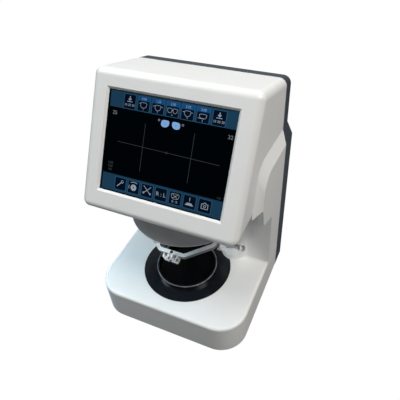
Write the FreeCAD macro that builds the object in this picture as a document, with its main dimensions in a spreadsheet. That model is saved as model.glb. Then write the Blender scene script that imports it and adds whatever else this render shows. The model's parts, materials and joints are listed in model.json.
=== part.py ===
import FreeCAD, Part
import math
import os
import re
import Sketcher

# A tabletop lens centring and blocking unit. +X is its right side, +Y its back, +Z up.
# The origin is on the table under the middle of the body. All lengths are millimetres.

SIZES = {
    # Whole body
    "body_half_width": 114.0,
    "body_depth": 213.5,
    "head_set_in": 8.0,
    "wall": 3.0,
    "fit_gap": 0.3,
    "running_gap": 0.05,
    "cut_over": 2.0,
    # Base housing, its plate and feet
    "foot_height": 3.0,
    "foot_radius": 9.0,
    "foot_inset": 26.0,
    "base_height": 55.5,
    "base_top_wall": 5.0,
    "base_corner_radius": 40.0,
    "base_edge_round": 4.0,
    "base_under_bevel": 2.0,
    "plate_thickness": 2.0,
    # Lens table, support ring and the light box under it
    "table_front_gap": 21.0,
    "table_thickness": 3.0,
    "table_proud": 0.5,
    "ring_wall": 3.0,
    "ring_height": 6.6,
    "window_thickness": 3.0,
    "light_box_depth": 32.0,
    "light_box_wall": 2.0,
    "light_flange_reach": 6.1,
    "light_flange_thickness": 3.0,
    "light_board_thickness": 1.6,
    "light_stud_radius": 2.6,
    "light_stud_height": 1.5,
    # Column housing with its two rounded pillars
    "channel_half_width": 34.0,
    "channel_back_gap": 16.0,
    "pillar_radius": 21.0,
    "pillar_spacing": 60.0,
    "pillar_set_back": 10.0,
    "pillar_blend": 9.0,
    "foot_flare": 4.0,
    "flare_plate": 6.0,
    # Shoulders that clasp the head on both sides
    "shoulder_low": 157.0,
    "shoulder_nose_low": 173.0,
    "shoulder_nose_reach": 37.0,
    "shoulder_lip_reach": 44.0,
    "shoulder_front_reach": 65.0,
    "shoulder_crest_reach": 40.5,
    "shoulder_crest_height": 272.0,
    "shoulder_back_height": 262.0,
    "shoulder_round": 26.0,
    "shoulder_bevel": 17.5,
    "shoulder_lip": 2.0,
    "shoulder_crest_lean": 1.0,
    # Head housing
    "head_underside": 206.0,
    "head_from_front": 15.0,
    "face_tilt": 30.6,
    "face_length": 178.0,
    "roof_slope": 16.7,
    "face_side_round": 10.0,
    "crest_round": 10.0,
    "chin_round": 8.0,
    "head_side_wall": 4.5,
    # Rear cover
    "cover_depth_low": 30.0,
    "cover_depth_high": 21.0,
    "cover_step_height": 245.0,
    "cover_back_wall": 5.0,
    # Screen, display module and its carrier
    "bezel_side": 24.7,
    "bezel_ends": 56.0,
    "screen_raise": 5.5,
    "screen_recess": 2.5,
    "screen_lip": 2.5,
    "glass_thickness": 1.8,
    "panel_margin": 4.0,
    "panel_thickness": 6.0,
    "carrier_margin": 12.0,
    "carrier_thickness": 1.5,
    "board_side_gap": 42.6,
    "board_end_gap": 52.0,
    "board_thickness": 1.6,
    "board_standoff": 4.0,
    "standoff_radius": 2.5,
    "standoff_inset": 6.0,
    "chip_size": 22.0,
    "chip_height": 2.4,
    # Hood round the camera
    "hood_wall": 2.5,
    "hood_depth": 41.0,
    "hood_front_gap": 16.0,
    "hood_back_gap": 9.3,
    "hood_side_back": 16.7,
    # Camera, lens and ring light
    "lens_radius": 13.0,
    "lens_length": 28.0,
    "lens_tip_radius": 10.0,
    "lens_tip_depth": 2.0,
    "camera_width": 30.0,
    "camera_height": 32.0,
    "mount_width": 64.0,
    "mount_thickness": 4.0,
    "ring_light_inner": 24.0,
    "ring_light_gap": 16.5,
    "ring_board_thickness": 2.0,
    "diffuser_depth": 7.0,
    "diffuser_wall": 1.5,
    # Lift drive in the head
    "lift_travel": 12.0,
    "drive_set_back": 45.0,
    "bearing_radius": 9.0,
    "bearing_thickness": 5.0,
    "travel_spare": 2.0,
    "carriage_thickness": 8.0,
    "carriage_beam_depth": 16.0,
    "carriage_arm_width": 9.0,
    "rod_radius": 4.0,
    "rod_spacing": 36.0,
    "bush_radius": 6.5,
    "screw_radius": 4.0,
    "nut_radius": 8.0,
    "nut_flange_radius": 12.0,
    "nut_flange_thickness": 4.0,
    "coupler_radius": 8.0,
    "coupler_length": 16.0,
    "coupler_gap": 3.0,
    "bridge_thickness": 5.0,
    "bridge_margin": 10.0,
    "motor_width": 42.0,
    "motor_height": 34.0,
    "motor_shaft_radius": 2.5,
    "motor_boss_radius": 11.0,
    # Hangers, swing motor and belt
    "hanger_set_in": 39.5,
    "hanger_thickness": 3.5,
    "hanger_half_width": 5.0,
    "hanger_head_back": 37.0,
    "hanger_head_height": 44.0,
    "slot_reach_front": 7.0,
    "slot_reach_back": 30.0,
    "swing_motor_width": 28.0,
    "swing_motor_length": 20.0,
    "swing_motor_back": 21.0,
    "swing_motor_up": 27.0,
    "swing_shaft_radius": 2.5,
    "pulley_radius": 7.0,
    "pulley_width": 6.0,
    "pulley_gap": 0.6,
    "belt_thickness": 1.3,
    "belt_width": 5.0,
    # Swinging yoke with the block chuck
    "pivot_height": 133.0,
    "pivot_radius": 3.0,
    "pin_overhang": 22.5,
    "boss_radius": 4.5,
    "collar_radius": 4.2,
    "collar_length": 6.0,
    "collar_offset": 14.5,
    "yoke_tilt": 18.8,
    "yoke_reach": 37.25,
    "yoke_front_half": 18.5,
    "elbow_set_in": 13.0,
    "yoke_elbow_reach": 9.5,
    "yoke_thickness": 5.5,
    "yoke_height": 7.0,
    "yoke_lift": 4.4,
    "yoke_elbow_bend": 10.0,
    "yoke_front_bend": 4.0,
    "chuck_reach": 47.0,
    "chuck_width": 22.4,
    "chuck_half_height": 6.5,
    "chuck_round": 2.0,
    "chuck_bore_radius": 4.0,
    "chuck_bore_depth": 6.0,
    "chuck_groove_depth": 1.2,
    "chuck_groove_width": 1.6,
    "chuck_slit": 1.4,
    "chuck_slit_depth": 5.5,
    "chuck_screw_radius": 1.8,
    "chuck_screw_head_radius": 2.4,
    "chuck_screw_head_height": 1.6,
    "chuck_screw_grip": 5.0,
    # Power supply and control board in the base
    "supply_height": 32.0,
    "unit_side_gap": 8.0,
    "unit_inner": 26.0,
    "unit_back_gap": 6.0,
    "unit_front_gap": 42.0,
    "control_set_in": 2.0,
    "control_standoff": 6.0,
    # Fittings on the back
    "panel_recess": 2.5,
    "panel_half_width": 62.0,
    "panel_low": 16.0,
    "panel_high": 60.0,
    "inlet_width": 28.0,
    "inlet_height": 21.0,
    "inlet_depth": 20.0,
    "inlet_offset": 38.0,
    "fitting_flange": 3.0,
    "fitting_flange_depth": 1.5,
    "pin_radius": 1.2,
    "pin_spread": 6.5,
    "switch_width": 14.0,
    "switch_height": 20.0,
    "switch_depth": 16.0,
    "rocker_half_angle": 7.0,
    "rocker_radius": 16.0,
    "rocker_thickness": 6.0,
    "rocker_height": 12.5,
    "port_width": 15.0,
    "port_height": 13.0,
    "port_depth": 14.0,
    "port_spacing": 21.0,
    "fan_width": 60.0,
    "fan_depth": 15.0,
    "fan_height": 215.0,
    "fan_wall": 1.5,
    "fan_hub_radius": 13.0,
    "fan_blade_thickness": 1.2,
    "fan_blade_turn": 38.0,
    "fan_tip_gap": 1.5,
    "fan_axle_radius": 1.5,
    "vent_width": 3.0,
    "vent_pitch": 7.0,
    "screw_head_radius": 3.2,
    "screw_head_height": 2.0,
    "screw_inset": 13.0,
}

FAN_BLADES = 7
VENTS = 8

PLACES = {
    "base_front": "-body_depth / 2",
    "body_back": "body_depth / 2",
    "column_from_front": "body_depth * 0.644",
    "table_from_front": "column_from_front * 7 / 11",
    "table_radius": "table_from_front - table_front_gap",
    "ring_outer_radius": "table_radius * 0.69",
    "head_half_width": "body_half_width - head_set_in",
    "under_z": "foot_height",
    "base_top_z": "under_z + base_height",
    "base_ceiling_z": "base_top_z - base_top_wall",
    "plate_top_z": "under_z + plate_thickness",
    "shoulder_crest_y": "base_front + column_from_front - shoulder_crest_reach",
    "seam_low_y": "body_back - cover_depth_low",
    "seam_high_y": "body_back - cover_depth_high",
    "table_y": "base_front + table_from_front",
    "table_top_z": "base_top_z + table_proud",
    "table_low_z": "table_top_z - table_thickness",
    "ring_inner_radius": "ring_outer_radius - ring_wall",
    "window_low_z": "base_top_z - window_thickness",
    "box_low_z": "table_low_z - light_box_depth",
    "light_flange_radius": "ring_outer_radius + light_flange_reach",
    "light_stud_circle": "ring_outer_radius * 0.52",
    "column_front_y": "base_front + column_from_front",
    "channel_back_y": "seam_low_y - channel_back_gap",
    "pillar_y": "column_front_y + pillar_set_back",
    "pillar_foot_radius": "pillar_radius + foot_flare",
    "head_low_z": "under_z + head_underside",
    "floor_top_z": "head_low_z + wall",
    "face_foot_y": "base_front + head_from_front",
    "crest_y": "face_foot_y + face_length * sin(face_tilt)",
    "crest_z": "head_low_z + face_length * cos(face_tilt)",
    "roof_seam_z": "crest_z - (seam_high_y - crest_y) * tan(roof_slope)",
    "roof_back_z": "crest_z - (body_back - crest_y) * tan(roof_slope)",
    "cover_step_z": "under_z + cover_step_height",
    "shoulder_back_z": "under_z + shoulder_back_height",
    "shoulder_fall": "(shoulder_crest_height - shoulder_back_height) / (seam_high_y - shoulder_crest_y)",
    "shoulder_end_z": "shoulder_back_z - shoulder_fall * (body_back - seam_high_y)",
    "screen_width": "(head_half_width - bezel_side) * 2",
    "screen_height": "face_length - bezel_ends",
    "screen_up_face": "face_length / 2 + screen_raise",
    "board_width": "screen_width - board_side_gap",
    "board_height": "screen_height - board_end_gap",
    "screen_y": "face_foot_y + screen_up_face * sin(face_tilt)",
    "screen_z": "head_low_z + screen_up_face * cos(face_tilt)",
    "face_turn": "90 - face_tilt",
    "glass_face": "-screen_recess",
    "glass_back": "glass_face - glass_thickness",
    "panel_back": "glass_back - panel_thickness",
    "carrier_back": "panel_back - carrier_thickness",
    "board_back": "carrier_back - board_standoff - board_thickness",
    "inner_crest_y": "crest_y + wall * (cos(roof_slope) - sin(face_tilt)) / cos(face_tilt - roof_slope)",
    "inner_crest_z": "crest_z - (wall + (inner_crest_y - crest_y) * sin(roof_slope)) / cos(roof_slope)",
    "inner_foot_y": "face_foot_y + wall * tan(face_tilt) + wall / cos(face_tilt)",
    "corner_run": "chin_round * 3 / 2",
    "panel_width": "screen_width + panel_margin * 2",
    "panel_height": "screen_height + panel_margin * 2",
    "carrier_width": "panel_width + carrier_margin * 2",
    "hood_y": "column_front_y - hood_back_gap - hood_side_back",
    "hood_radius": "hood_y - face_foot_y - hood_front_gap",
    "hood_low_z": "head_low_z - hood_depth",
    "lens_tip_z": "floor_top_z + mount_thickness - lens_length",
    "drive_y": "table_y + drive_set_back",
    "carriage_low_z": "floor_top_z + bearing_thickness + lift_travel + travel_spare",
    "carriage_top_z": "carriage_low_z + carriage_thickness",
    "flange_top_z": "carriage_top_z + nut_flange_thickness",
    "coupler_low_z": "flange_top_z + coupler_gap",
    "coupler_top_z": "coupler_low_z + coupler_length",
    "bridge_low_z": "coupler_top_z + coupler_gap",
    "bridge_top_z": "bridge_low_z + bridge_thickness",
    "hanger_inner": "head_half_width - hanger_set_in",
    "hanger_outer": "hanger_inner + hanger_thickness",
    "ring_light_outer": "hanger_inner - ring_light_gap",
    "yoke_elbow_half": "hanger_inner - elbow_set_in",
    "pivot_z": "under_z + pivot_height",
    "pivot_inner": "yoke_elbow_half - yoke_thickness / 2",
    "swing_motor_y": "table_y + swing_motor_back",
    "swing_motor_z": "carriage_low_z + swing_motor_up",
    "pulley_outer": "hanger_inner - pulley_gap",
    "pulley_inner": "pulley_outer - pulley_width",
    "unit_front_y": "table_y + unit_front_gap",
    "unit_back_y": "seam_low_y - unit_back_gap",
    "unit_y": "(unit_front_y + unit_back_y) / 2",
    "supply_length": "body_half_width - unit_side_gap - unit_inner",
    "supply_depth": "unit_back_y - unit_front_y",
    "unit_spacing": "unit_inner + supply_length / 2",
    "control_width": "supply_length - control_set_in * 2",
    "control_depth": "supply_depth - control_set_in",
    "panel_y": "body_back - panel_recess",
    "panel_middle_z": "(panel_low + panel_high) / 2",
    "fan_z": "under_z + fan_height",
}

doc = FreeCAD.newDocument("lens_blocker")
V = FreeCAD.Vector
NODES = []


def link(text):
    """A formula in named sizes, with each name tied to the sheet that holds it."""
    def tie(match):
        word = match.group(0)
        if word in SIZES:
            return "sizes." + word
        if word in PLACES:
            return "places." + word
        return word
    return re.sub(r"[a-z][a-z_]*", tie, text)


def fill_sheet(name, rows, formulas):
    sheet = doc.addObject("Spreadsheet::Sheet", name)
    for row, (alias, content) in enumerate(rows.items(), start=1):
        sheet.set(f"A{row}", alias)
        sheet.set(f"B{row}", "=" + link(content) if formulas else str(content))
        sheet.setAlias(f"B{row}", alias)
        if formulas:
            doc.recompute([sheet])
    return sheet


sizes = fill_sheet("sizes", SIZES, False)
doc.recompute()
places = fill_sheet("places", PLACES, True)
scratch = doc.addObject("Spreadsheet::Sheet", "scratch")
doc.recompute()


def size(text):
    """The number that a formula in named sizes comes to."""
    if text in SIZES:
        return float(sizes.get(text))
    if text in PLACES:
        return float(places.get(text))
    scratch.set("A1", "=" + link(text))
    doc.recompute([scratch])
    return float(scratch.get("A1"))


def tie(thing, **links):
    """Bind properties to formulas; x, y and z place the thing."""
    for name, text in links.items():
        target = f"Placement.Base.{name}" if name in ("x", "y", "z") else name
        if text != "0":
            thing.setExpression(target, link(text))
    return thing


def node(thing, name):
    """Name a finished sub-part."""
    thing.Label = name
    NODES.append(thing)
    return thing


# Part primitives and booleans

TURNS = {
    "Z": FreeCAD.Rotation(),
    "X": FreeCAD.Rotation(V(0, 1, 0), 90),
    "Y": FreeCAD.Rotation(V(1, 0, 0), -90),
}


def block(length, width, height, x="0", y="0", z="0"):
    """A box centred on x and y that stands on z."""
    thing = doc.addObject("Part::Box", "block")
    tie(thing, Length=length, Width=width, Height=height)
    return tie(thing, x=f"({x}) - ({length}) / 2", y=f"({y}) - ({width}) / 2", z=z)


def rod(radius, height, x="0", y="0", z="0", along="Z"):
    """A cylinder that starts at x, y, z and runs along one axis."""
    thing = doc.addObject("Part::Cylinder", "rod")
    thing.Placement = FreeCAD.Placement(V(), TURNS[along])
    return tie(thing, Radius=radius, Height=height, x=x, y=y, z=z)


def cut(base, *tools):
    for tool in tools:
        result = doc.addObject("Part::Cut", "cut")
        result.Base = base
        result.Tool = tool
        base = result
    return base


def fuse(*things):
    result = doc.addObject("Part::MultiFuse", "fuse")
    result.Shapes = list(things)
    result.Refine = True
    return result


def group(*things):
    """Separate solids of one sub-part."""
    result = doc.addObject("Part::Compound", "group")
    result.Links = list(things)
    return result


def tube(outer, inner, height, x="0", y="0", z="0", along="Z"):
    shift = {"X": (f"{x} - cut_over", y, z), "Y": (x, f"{y} - cut_over", z), "Z": (x, y, f"{z} - cut_over")}
    bore = rod(inner, f"{height} + cut_over * 2", *shift[along], along=along)
    return cut(rod(outer, height, x, y, z, along=along), bore)


# PartDesign bodies


def new_body(name):
    body = doc.addObject("PartDesign::Body", name)
    return node(body, name)


def origin_plane(body, role):
    return [plane for plane in body.Origin.OriginFeatures if plane.Role == role][0]


def sketch_on(body, role, offset="0"):
    sketch = body.newObject("Sketcher::SketchObject", "sketch")
    sketch.AttachmentSupport = [(origin_plane(body, role), "")]
    sketch.MapMode = "FlatFace"
    if offset != "0":
        sketch.setExpression("AttachmentOffset.Base.z", link(offset))
    return sketch


def outline(sketch, points):
    """A closed outline of straight runs whose corners are bound to the sheet."""
    first = sketch.GeometryCount
    spots = [V(size(across), size(up), 0) for across, up in points]
    count = len(points)
    for index in range(count):
        sketch.addGeometry(Part.LineSegment(spots[index], spots[(index + 1) % count]))
    for index in range(count):
        after = (index + 1) % count
        sketch.addConstraint(Sketcher.Constraint("Coincident", first + index, 2, first + after, 1))
    for index, (across, up) in enumerate(points):
        for kind, text in (("DistanceX", across), ("DistanceY", up)):
            rule = Sketcher.Constraint(kind, -1, 1, first + index, 1, size(text))
            number = sketch.addConstraint(rule)
            if text != "0":
                sketch.setExpression(f"Constraints[{number}]", link(text))


def round_corner(sketch, across, up, radius):
    """Round the outline's corner at one spot with an arc whose radius is bound to the sheet."""
    spot = V(size(across), size(up), 0)
    for index in range(sketch.GeometryCount):
        if sketch.getPoint(index, 2).distanceToPoint(spot) < size("fit_gap / 10"):
            sketch.fillet(index, 2, size(radius), True, True)
            arc = [i for i, shape in enumerate(sketch.Geometry) if isinstance(shape, Part.ArcOfCircle)][-1]
            number = sketch.addConstraint(Sketcher.Constraint("Radius", arc, size(radius)))
            sketch.setExpression(f"Constraints[{number}]", link(radius))
            return
    raise RuntimeError(f"{sketch.Name}: no corner was found")


def circle(sketch, radius, across="0", up="0"):
    index = sketch.GeometryCount
    centre = V(size(across), size(up), 0)
    sketch.addGeometry(Part.Circle(centre, V(0, 0, 1), size(radius)))
    rules = (("DistanceX", across), ("DistanceY", up))
    for kind, text in rules:
        number = sketch.addConstraint(Sketcher.Constraint(kind, -1, 1, index, 3, size(text)))
        if text != "0":
            sketch.setExpression(f"Constraints[{number}]", link(text))
    number = sketch.addConstraint(Sketcher.Constraint("Radius", index, size(radius)))
    sketch.setExpression(f"Constraints[{number}]", link(radius))


def rectangle(sketch, low, high):
    outline(sketch, [(low[0], low[1]), (high[0], low[1]), (high[0], high[1]), (low[0], high[1])])


def pad(body, sketch, length, both=False, back=False):
    feature = body.newObject("PartDesign::Pad", "pad")
    feature.Profile = sketch
    feature.setExpression("Length", link(length))
    feature.Midplane = both
    feature.Reversed = back
    doc.recompute()
    return feature


def pocket(body, sketch, length, both=False, back=False):
    """Cut away from the sketch's own side, and check that something was cut."""
    before = body.Shape.Volume
    feature = body.newObject("PartDesign::Pocket", "pocket")
    feature.Profile = sketch
    feature.setExpression("Length", link(length))
    feature.Midplane = both
    feature.Reversed = back
    doc.recompute()
    if not feature.Shape.Volume < before:
        raise RuntimeError(f"{body.Label}: a pocket cut nothing")
    return feature


def loft(body, *sections):
    feature = body.newObject("PartDesign::AdditiveLoft", "loft")
    feature.Profile = sections[0]
    feature.Sections = list(sections[1:])
    feature.Ruled = True
    doc.recompute()
    return feature


def picked(feature, test):
    """Names of the feature's edges that pass the test."""
    found = []
    for index, edge in enumerate(feature.Shape.Edges, start=1):
        if test(edge.BoundBox):
            found.append(f"Edge{index}")
    if not found:
        raise RuntimeError(f"{feature.Name}: no edge was found")
    return found


def fillet(body, radius, test):
    base = body.Tip
    feature = body.newObject("PartDesign::Fillet", "fillet")
    feature.Base = (base, picked(base, test))
    feature.setExpression("Radius", link(radius))
    doc.recompute()
    return feature


def chamfer(body, width, test):
    base = body.Tip
    feature = body.newObject("PartDesign::Chamfer", "chamfer")
    feature.Base = (base, picked(base, test))
    feature.setExpression("Size", link(width))
    doc.recompute()
    return feature


def near(value, text):
    return abs(value - size(text)) < size("wall") / 100


# Base


def base_housing():
    body = new_body("base_housing")
    sketch = sketch_on(body, "XY_Plane", "under_z")
    rectangle(sketch, ("-body_half_width", "base_front"), ("body_half_width", "seam_low_y"))
    pad(body, sketch, "base_height")
    hollow = sketch_on(body, "XY_Plane", "under_z")
    rectangle(hollow, ("-body_half_width + wall", "base_front + wall"),
              ("body_half_width - wall", "seam_low_y - wall"))
    pocket(body, hollow, "base_height - base_top_wall", back=True)
    fillet(body, "base_corner_radius - wall", lambda box: box.ZLength > box.XLength + box.YLength and near(
        box.YMin, "base_front + wall"))
    fillet(body, "base_corner_radius", lambda box: box.ZLength > box.XLength + box.YLength and near(
        box.YMin, "base_front"))
    fillet(body, "base_edge_round", lambda box: near(box.ZMin, "base_top_z") and box.YMin < size(
        "column_front_y") and not near(box.YMin, "seam_low_y"))
    chamfer(body, "base_under_bevel", on_outer_foot)
    seat = sketch_on(body, "XY_Plane", "base_top_z")
    circle(seat, "table_radius + fit_gap", "0", "table_y")
    pocket(body, seat, "base_top_z - table_low_z")
    well = sketch_on(body, "XY_Plane", "base_top_z")
    circle(well, "ring_outer_radius + fit_gap", "0", "table_y")
    pocket(body, well, "base_top_wall + cut_over")
    return body


def on_outer_foot(box):
    outside = near(box.YMin, "base_front") or near(abs(box.XMin), "body_half_width") or near(
        abs(box.XMax), "body_half_width")
    return near(box.ZMax, "under_z") and outside and not near(box.YMin, "seam_low_y")


def base_plate():
    body = new_body("base_plate")
    sketch = sketch_on(body, "XY_Plane", "under_z")
    rectangle(sketch, ("-body_half_width + wall + fit_gap", "base_front + wall + fit_gap"),
              ("body_half_width - wall - fit_gap", "seam_low_y - wall - fit_gap"))
    pad(body, sketch, "plate_thickness")
    fillet(body, "base_corner_radius - wall", lambda box: near(box.ZLength, "plate_thickness") and near(
        box.YMin, "base_front + wall + fit_gap"))
    return body


def rubber_feet():
    feet = []
    for side in ("", "-"):
        for end in ("base_front + foot_inset * 2", "seam_low_y - foot_inset"):
            x = f"{side}(body_half_width - foot_inset * 1.4)"
            feet.append(rod("foot_radius", "foot_height", x, end, "0"))
    return node(group(*feet), "rubber_feet")


def table_disc():
    plate = tube("table_radius", "ring_inner_radius", "table_thickness", "0", "table_y", "table_low_z")
    corners = [rod("pillar_foot_radius + fit_gap", "table_thickness + cut_over * 2", f"{side}pillar_spacing",
                   "pillar_y", "table_low_z - cut_over") for side in ("", "-")]
    edge = "(channel_half_width - foot_flare - fit_gap)"
    walls = [block(f"pillar_spacing - {edge}", "table_radius", "table_thickness + cut_over * 2",
                   f"{side}(pillar_spacing + {edge}) / 2",
                   "column_front_y - foot_flare - fit_gap + table_radius / 2", "table_low_z - cut_over")
             for side in ("", "-")]
    return node(cut(plate, *corners, *walls), "table_disc")


def light_box():
    """A cup under the table whose rim carries the table disc and the window."""
    cup = rod("ring_outer_radius", "light_box_depth", "0", "table_y", "box_low_z")
    inside = rod("ring_inner_radius - light_box_wall", "light_box_depth + cut_over", "0", "table_y",
                 "box_low_z + light_box_wall")
    step = rod("ring_inner_radius", "window_thickness + cut_over", "0", "table_y", "window_low_z")
    flange = rod("light_flange_radius", "light_flange_thickness", "0", "table_y",
                 "base_ceiling_z - light_flange_thickness")
    node(cut(fuse(cup, flange), inside, step), "light_box")
    window = rod("ring_inner_radius - running_gap", "window_thickness", "0", "table_y", "window_low_z")
    node(window, "table_window")
    ring = tube("ring_outer_radius", "ring_inner_radius", "ring_height", "0", "table_y", "table_top_z")
    node(ring, "support_ring")
    board = rod("ring_inner_radius - light_box_wall * 2", "light_board_thickness", "0", "table_y",
                "box_low_z + light_box_wall")
    studs = [rod("light_stud_radius", "light_stud_height", f"light_stud_circle * {across}",
                 f"table_y + light_stud_circle * {back}",
                 "box_low_z + light_box_wall + light_board_thickness")
             for across, back in ((0, 0), (1, 0), (-1, 0), (0, 1), (0, -1))]
    node(fuse(board, *studs), "light_board")


# Column


def column_housing():
    body = new_body("column_housing")
    plan = sketch_on(body, "XY_Plane", "base_top_z")
    outline(plan, [
        ("-body_half_width", "column_front_y"), ("-channel_half_width", "column_front_y"),
        ("-channel_half_width", "channel_back_y"), ("channel_half_width", "channel_back_y"),
        ("channel_half_width", "column_front_y"), ("body_half_width", "column_front_y"),
        ("body_half_width", "seam_low_y"), ("-body_half_width", "seam_low_y")])
    pad(body, plan, "head_low_z - base_top_z")
    lobes = sketch_on(body, "XY_Plane", "base_top_z")
    circle(lobes, "pillar_radius", "pillar_spacing", "pillar_y")
    circle(lobes, "pillar_radius", "-pillar_spacing", "pillar_y")
    pad(body, lobes, "head_low_z - base_top_z")
    fillet(body, "pillar_blend", lambda box: box.ZLength > size("base_height") and near(
        box.YMin, "column_front_y") and size("pillar_spacing") < abs(box.XMin) < size(
        "body_half_width - wall"))
    plate = sketch_on(body, "XY_Plane", "base_top_z - flare_plate")
    rectangle(plate, ("-body_half_width", "base_front"), ("body_half_width", "seam_low_y"))
    pad(body, plate, "flare_plate")
    fillet(body, "foot_flare", lambda box: near(box.ZMin, "base_top_z") and near(
        box.ZMax, "base_top_z") and box.YMax < size("seam_low_y - wall") and box.YMin > size("table_y"))
    under = sketch_on(body, "XY_Plane", "base_top_z")
    rectangle(under, ("-body_half_width - cut_over", "base_front - cut_over"),
              ("body_half_width + cut_over", "seam_low_y + cut_over"))
    pocket(body, under, "flare_plate + cut_over")
    for side in ("", "-"):
        inner = sketch_on(body, "YZ_Plane", f"{side}head_half_width")
        outline(inner, shoulder_points(True))
        round_corner(inner, "shoulder_crest_y", "under_z + shoulder_crest_height", "shoulder_round")
        outer = sketch_on(body, "YZ_Plane", f"{side}body_half_width")
        outline(outer, shoulder_points(False))
        round_corner(outer, "shoulder_crest_y - shoulder_crest_lean",
                     "under_z + shoulder_crest_height - shoulder_bevel", "shoulder_round")
        loft(body, inner, outer)
    seam = sketch_on(body, "YZ_Plane")
    outline(seam, [
        ("seam_low_y", "base_top_z"), ("seam_low_y", "cover_step_z"), ("seam_high_y", "shoulder_back_z"),
        ("seam_high_y", "crest_z"), ("body_back + cut_over", "crest_z"),
        ("body_back + cut_over", "base_top_z")])
    pocket(body, seam, "body_half_width * 2 + cut_over * 2", both=True)
    inside = sketch_on(body, "XY_Plane", "base_top_z")
    outline(inside, [
        ("-body_half_width + wall", "column_front_y + wall"),
        ("-channel_half_width - wall", "column_front_y + wall"),
        ("-channel_half_width - wall", "channel_back_y + wall"),
        ("channel_half_width + wall", "channel_back_y + wall"),
        ("channel_half_width + wall", "column_front_y + wall"),
        ("body_half_width - wall", "column_front_y + wall"),
        ("body_half_width - wall", "seam_low_y + cut_over"),
        ("-body_half_width + wall", "seam_low_y + cut_over")])
    pocket(body, inside, "head_low_z - base_top_z - wall", back=True)
    return body


def shoulder_points(inner):
    """The shoulder seen from the side, against the head or at its outer face."""
    under = [
        ("body_back", "under_z + shoulder_low"),
        ("column_front_y", "under_z + shoulder_low"),
        ("column_front_y - shoulder_nose_reach", "under_z + shoulder_nose_low")]
    if inner:
        return under + [
            ("column_front_y - shoulder_lip_reach", "head_low_z"),
            ("column_front_y - shoulder_front_reach", "head_low_z"),
            ("shoulder_crest_y", "under_z + shoulder_crest_height"),
            ("body_back", "shoulder_end_z")]
    return under + [
        ("column_front_y - shoulder_lip_reach", "head_low_z - shoulder_lip"),
        ("column_front_y - shoulder_lip_reach", "head_low_z"),
        ("shoulder_crest_y - shoulder_crest_lean", "under_z + shoulder_crest_height - shoulder_bevel"),
        ("body_back", "shoulder_end_z - shoulder_bevel")]


# Head


def head_housing():
    body = new_body("head_housing")
    side = sketch_on(body, "YZ_Plane")
    outline(side, [
        ("face_foot_y", "head_low_z"), ("seam_low_y", "head_low_z"), ("seam_low_y", "cover_step_z"),
        ("seam_high_y", "shoulder_back_z"), ("seam_high_y", "roof_seam_z"), ("crest_y", "crest_z")])
    pad(body, side, "head_half_width * 2", both=True)
    fillet(body, "crest_round", lambda box: near(box.YMin, "crest_y") and near(box.YMax, "crest_y"))
    fillet(body, "chin_round", lambda box: near(box.YMax, "face_foot_y") and near(box.YMin, "face_foot_y"))
    fillet(body, "face_side_round", on_head_side_edge)
    inside = sketch_on(body, "YZ_Plane")
    outline(inside, [
        ("inner_foot_y + corner_run", "floor_top_z"), ("seam_low_y + cut_over", "floor_top_z"),
        ("seam_low_y + cut_over", "cover_step_z"), ("seam_high_y + cut_over", "shoulder_back_z"),
        ("seam_high_y + cut_over",
         "inner_crest_z - (seam_high_y + cut_over - inner_crest_y) * tan(roof_slope)"),
        ("inner_crest_y + corner_run * cos(roof_slope)", "inner_crest_z - corner_run * sin(roof_slope)"),
        ("inner_crest_y - corner_run * sin(face_tilt)", "inner_crest_z - corner_run * cos(face_tilt)"),
        ("inner_foot_y + corner_run * sin(face_tilt)", "floor_top_z + corner_run * cos(face_tilt)")])
    pocket(body, inside, "(head_half_width - head_side_wall) * 2", both=True)
    window = sketch_on_face(body)
    across = "screen_width / 2 + fit_gap"
    up = "screen_height / 2 + fit_gap"
    rectangle(window, (f"-({across})", f"-({up})"), (across, up))
    pocket(body, window, "wall + cut_over")
    chamfer(body, "screen_lip", on_window_rim)
    floor = sketch_on(body, "XY_Plane", "floor_top_z")
    circle(floor, "lens_radius + fit_gap", "0", "table_y")
    for side in ("", "-"):
        rectangle(floor, (f"{side}(pulley_inner - fit_gap * 3)", "table_y - slot_reach_front"),
                  (f"{side}(hanger_outer + fit_gap * 3)", "table_y + slot_reach_back"))
    pocket(body, floor, "wall + cut_over")
    return body


def on_head_side_edge(box):
    """The long edges where the face and the roof meet the flat sides, rounded ends included."""
    at_side = box.XLength < size("face_side_round") and box.ZMin > size("head_low_z")
    seams = near(box.YMin, "seam_high_y") or near(box.YMin, "seam_low_y")
    return at_side and not seams and box.YMax < size("seam_high_y + wall")


def sketch_on_face(body, depth="0"):
    """A sketch in the plane of the tilted face, centred on the screen."""
    sketch = sketch_on(body, "XY_Plane")
    sketch.AttachmentOffset = FreeCAD.Placement(V(), FreeCAD.Rotation(V(1, 0, 0), size("face_turn")))
    sketch.setExpression("AttachmentOffset.Rotation.Angle", link("face_turn"))
    sketch.setExpression("AttachmentOffset.Base.y", link(f"screen_y - ({depth}) * cos(face_tilt)"))
    sketch.setExpression("AttachmentOffset.Base.z", link(f"screen_z + ({depth}) * sin(face_tilt)"))
    return sketch


def above_face(y, z):
    tilt = math.radians(size("face_tilt"))
    return (size("face_foot_y") - y) * math.cos(tilt) + (z - size("head_low_z")) * math.sin(tilt)


def on_window_rim(box):
    inside = box.XMax < size("screen_width / 2 + wall") and box.XMin > -size("screen_width / 2 + wall")
    low = abs(above_face(box.YMin, box.ZMin)) < size("fit_gap")
    high = abs(above_face(box.YMax, box.ZMax)) < size("fit_gap")
    return inside and low and high


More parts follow.
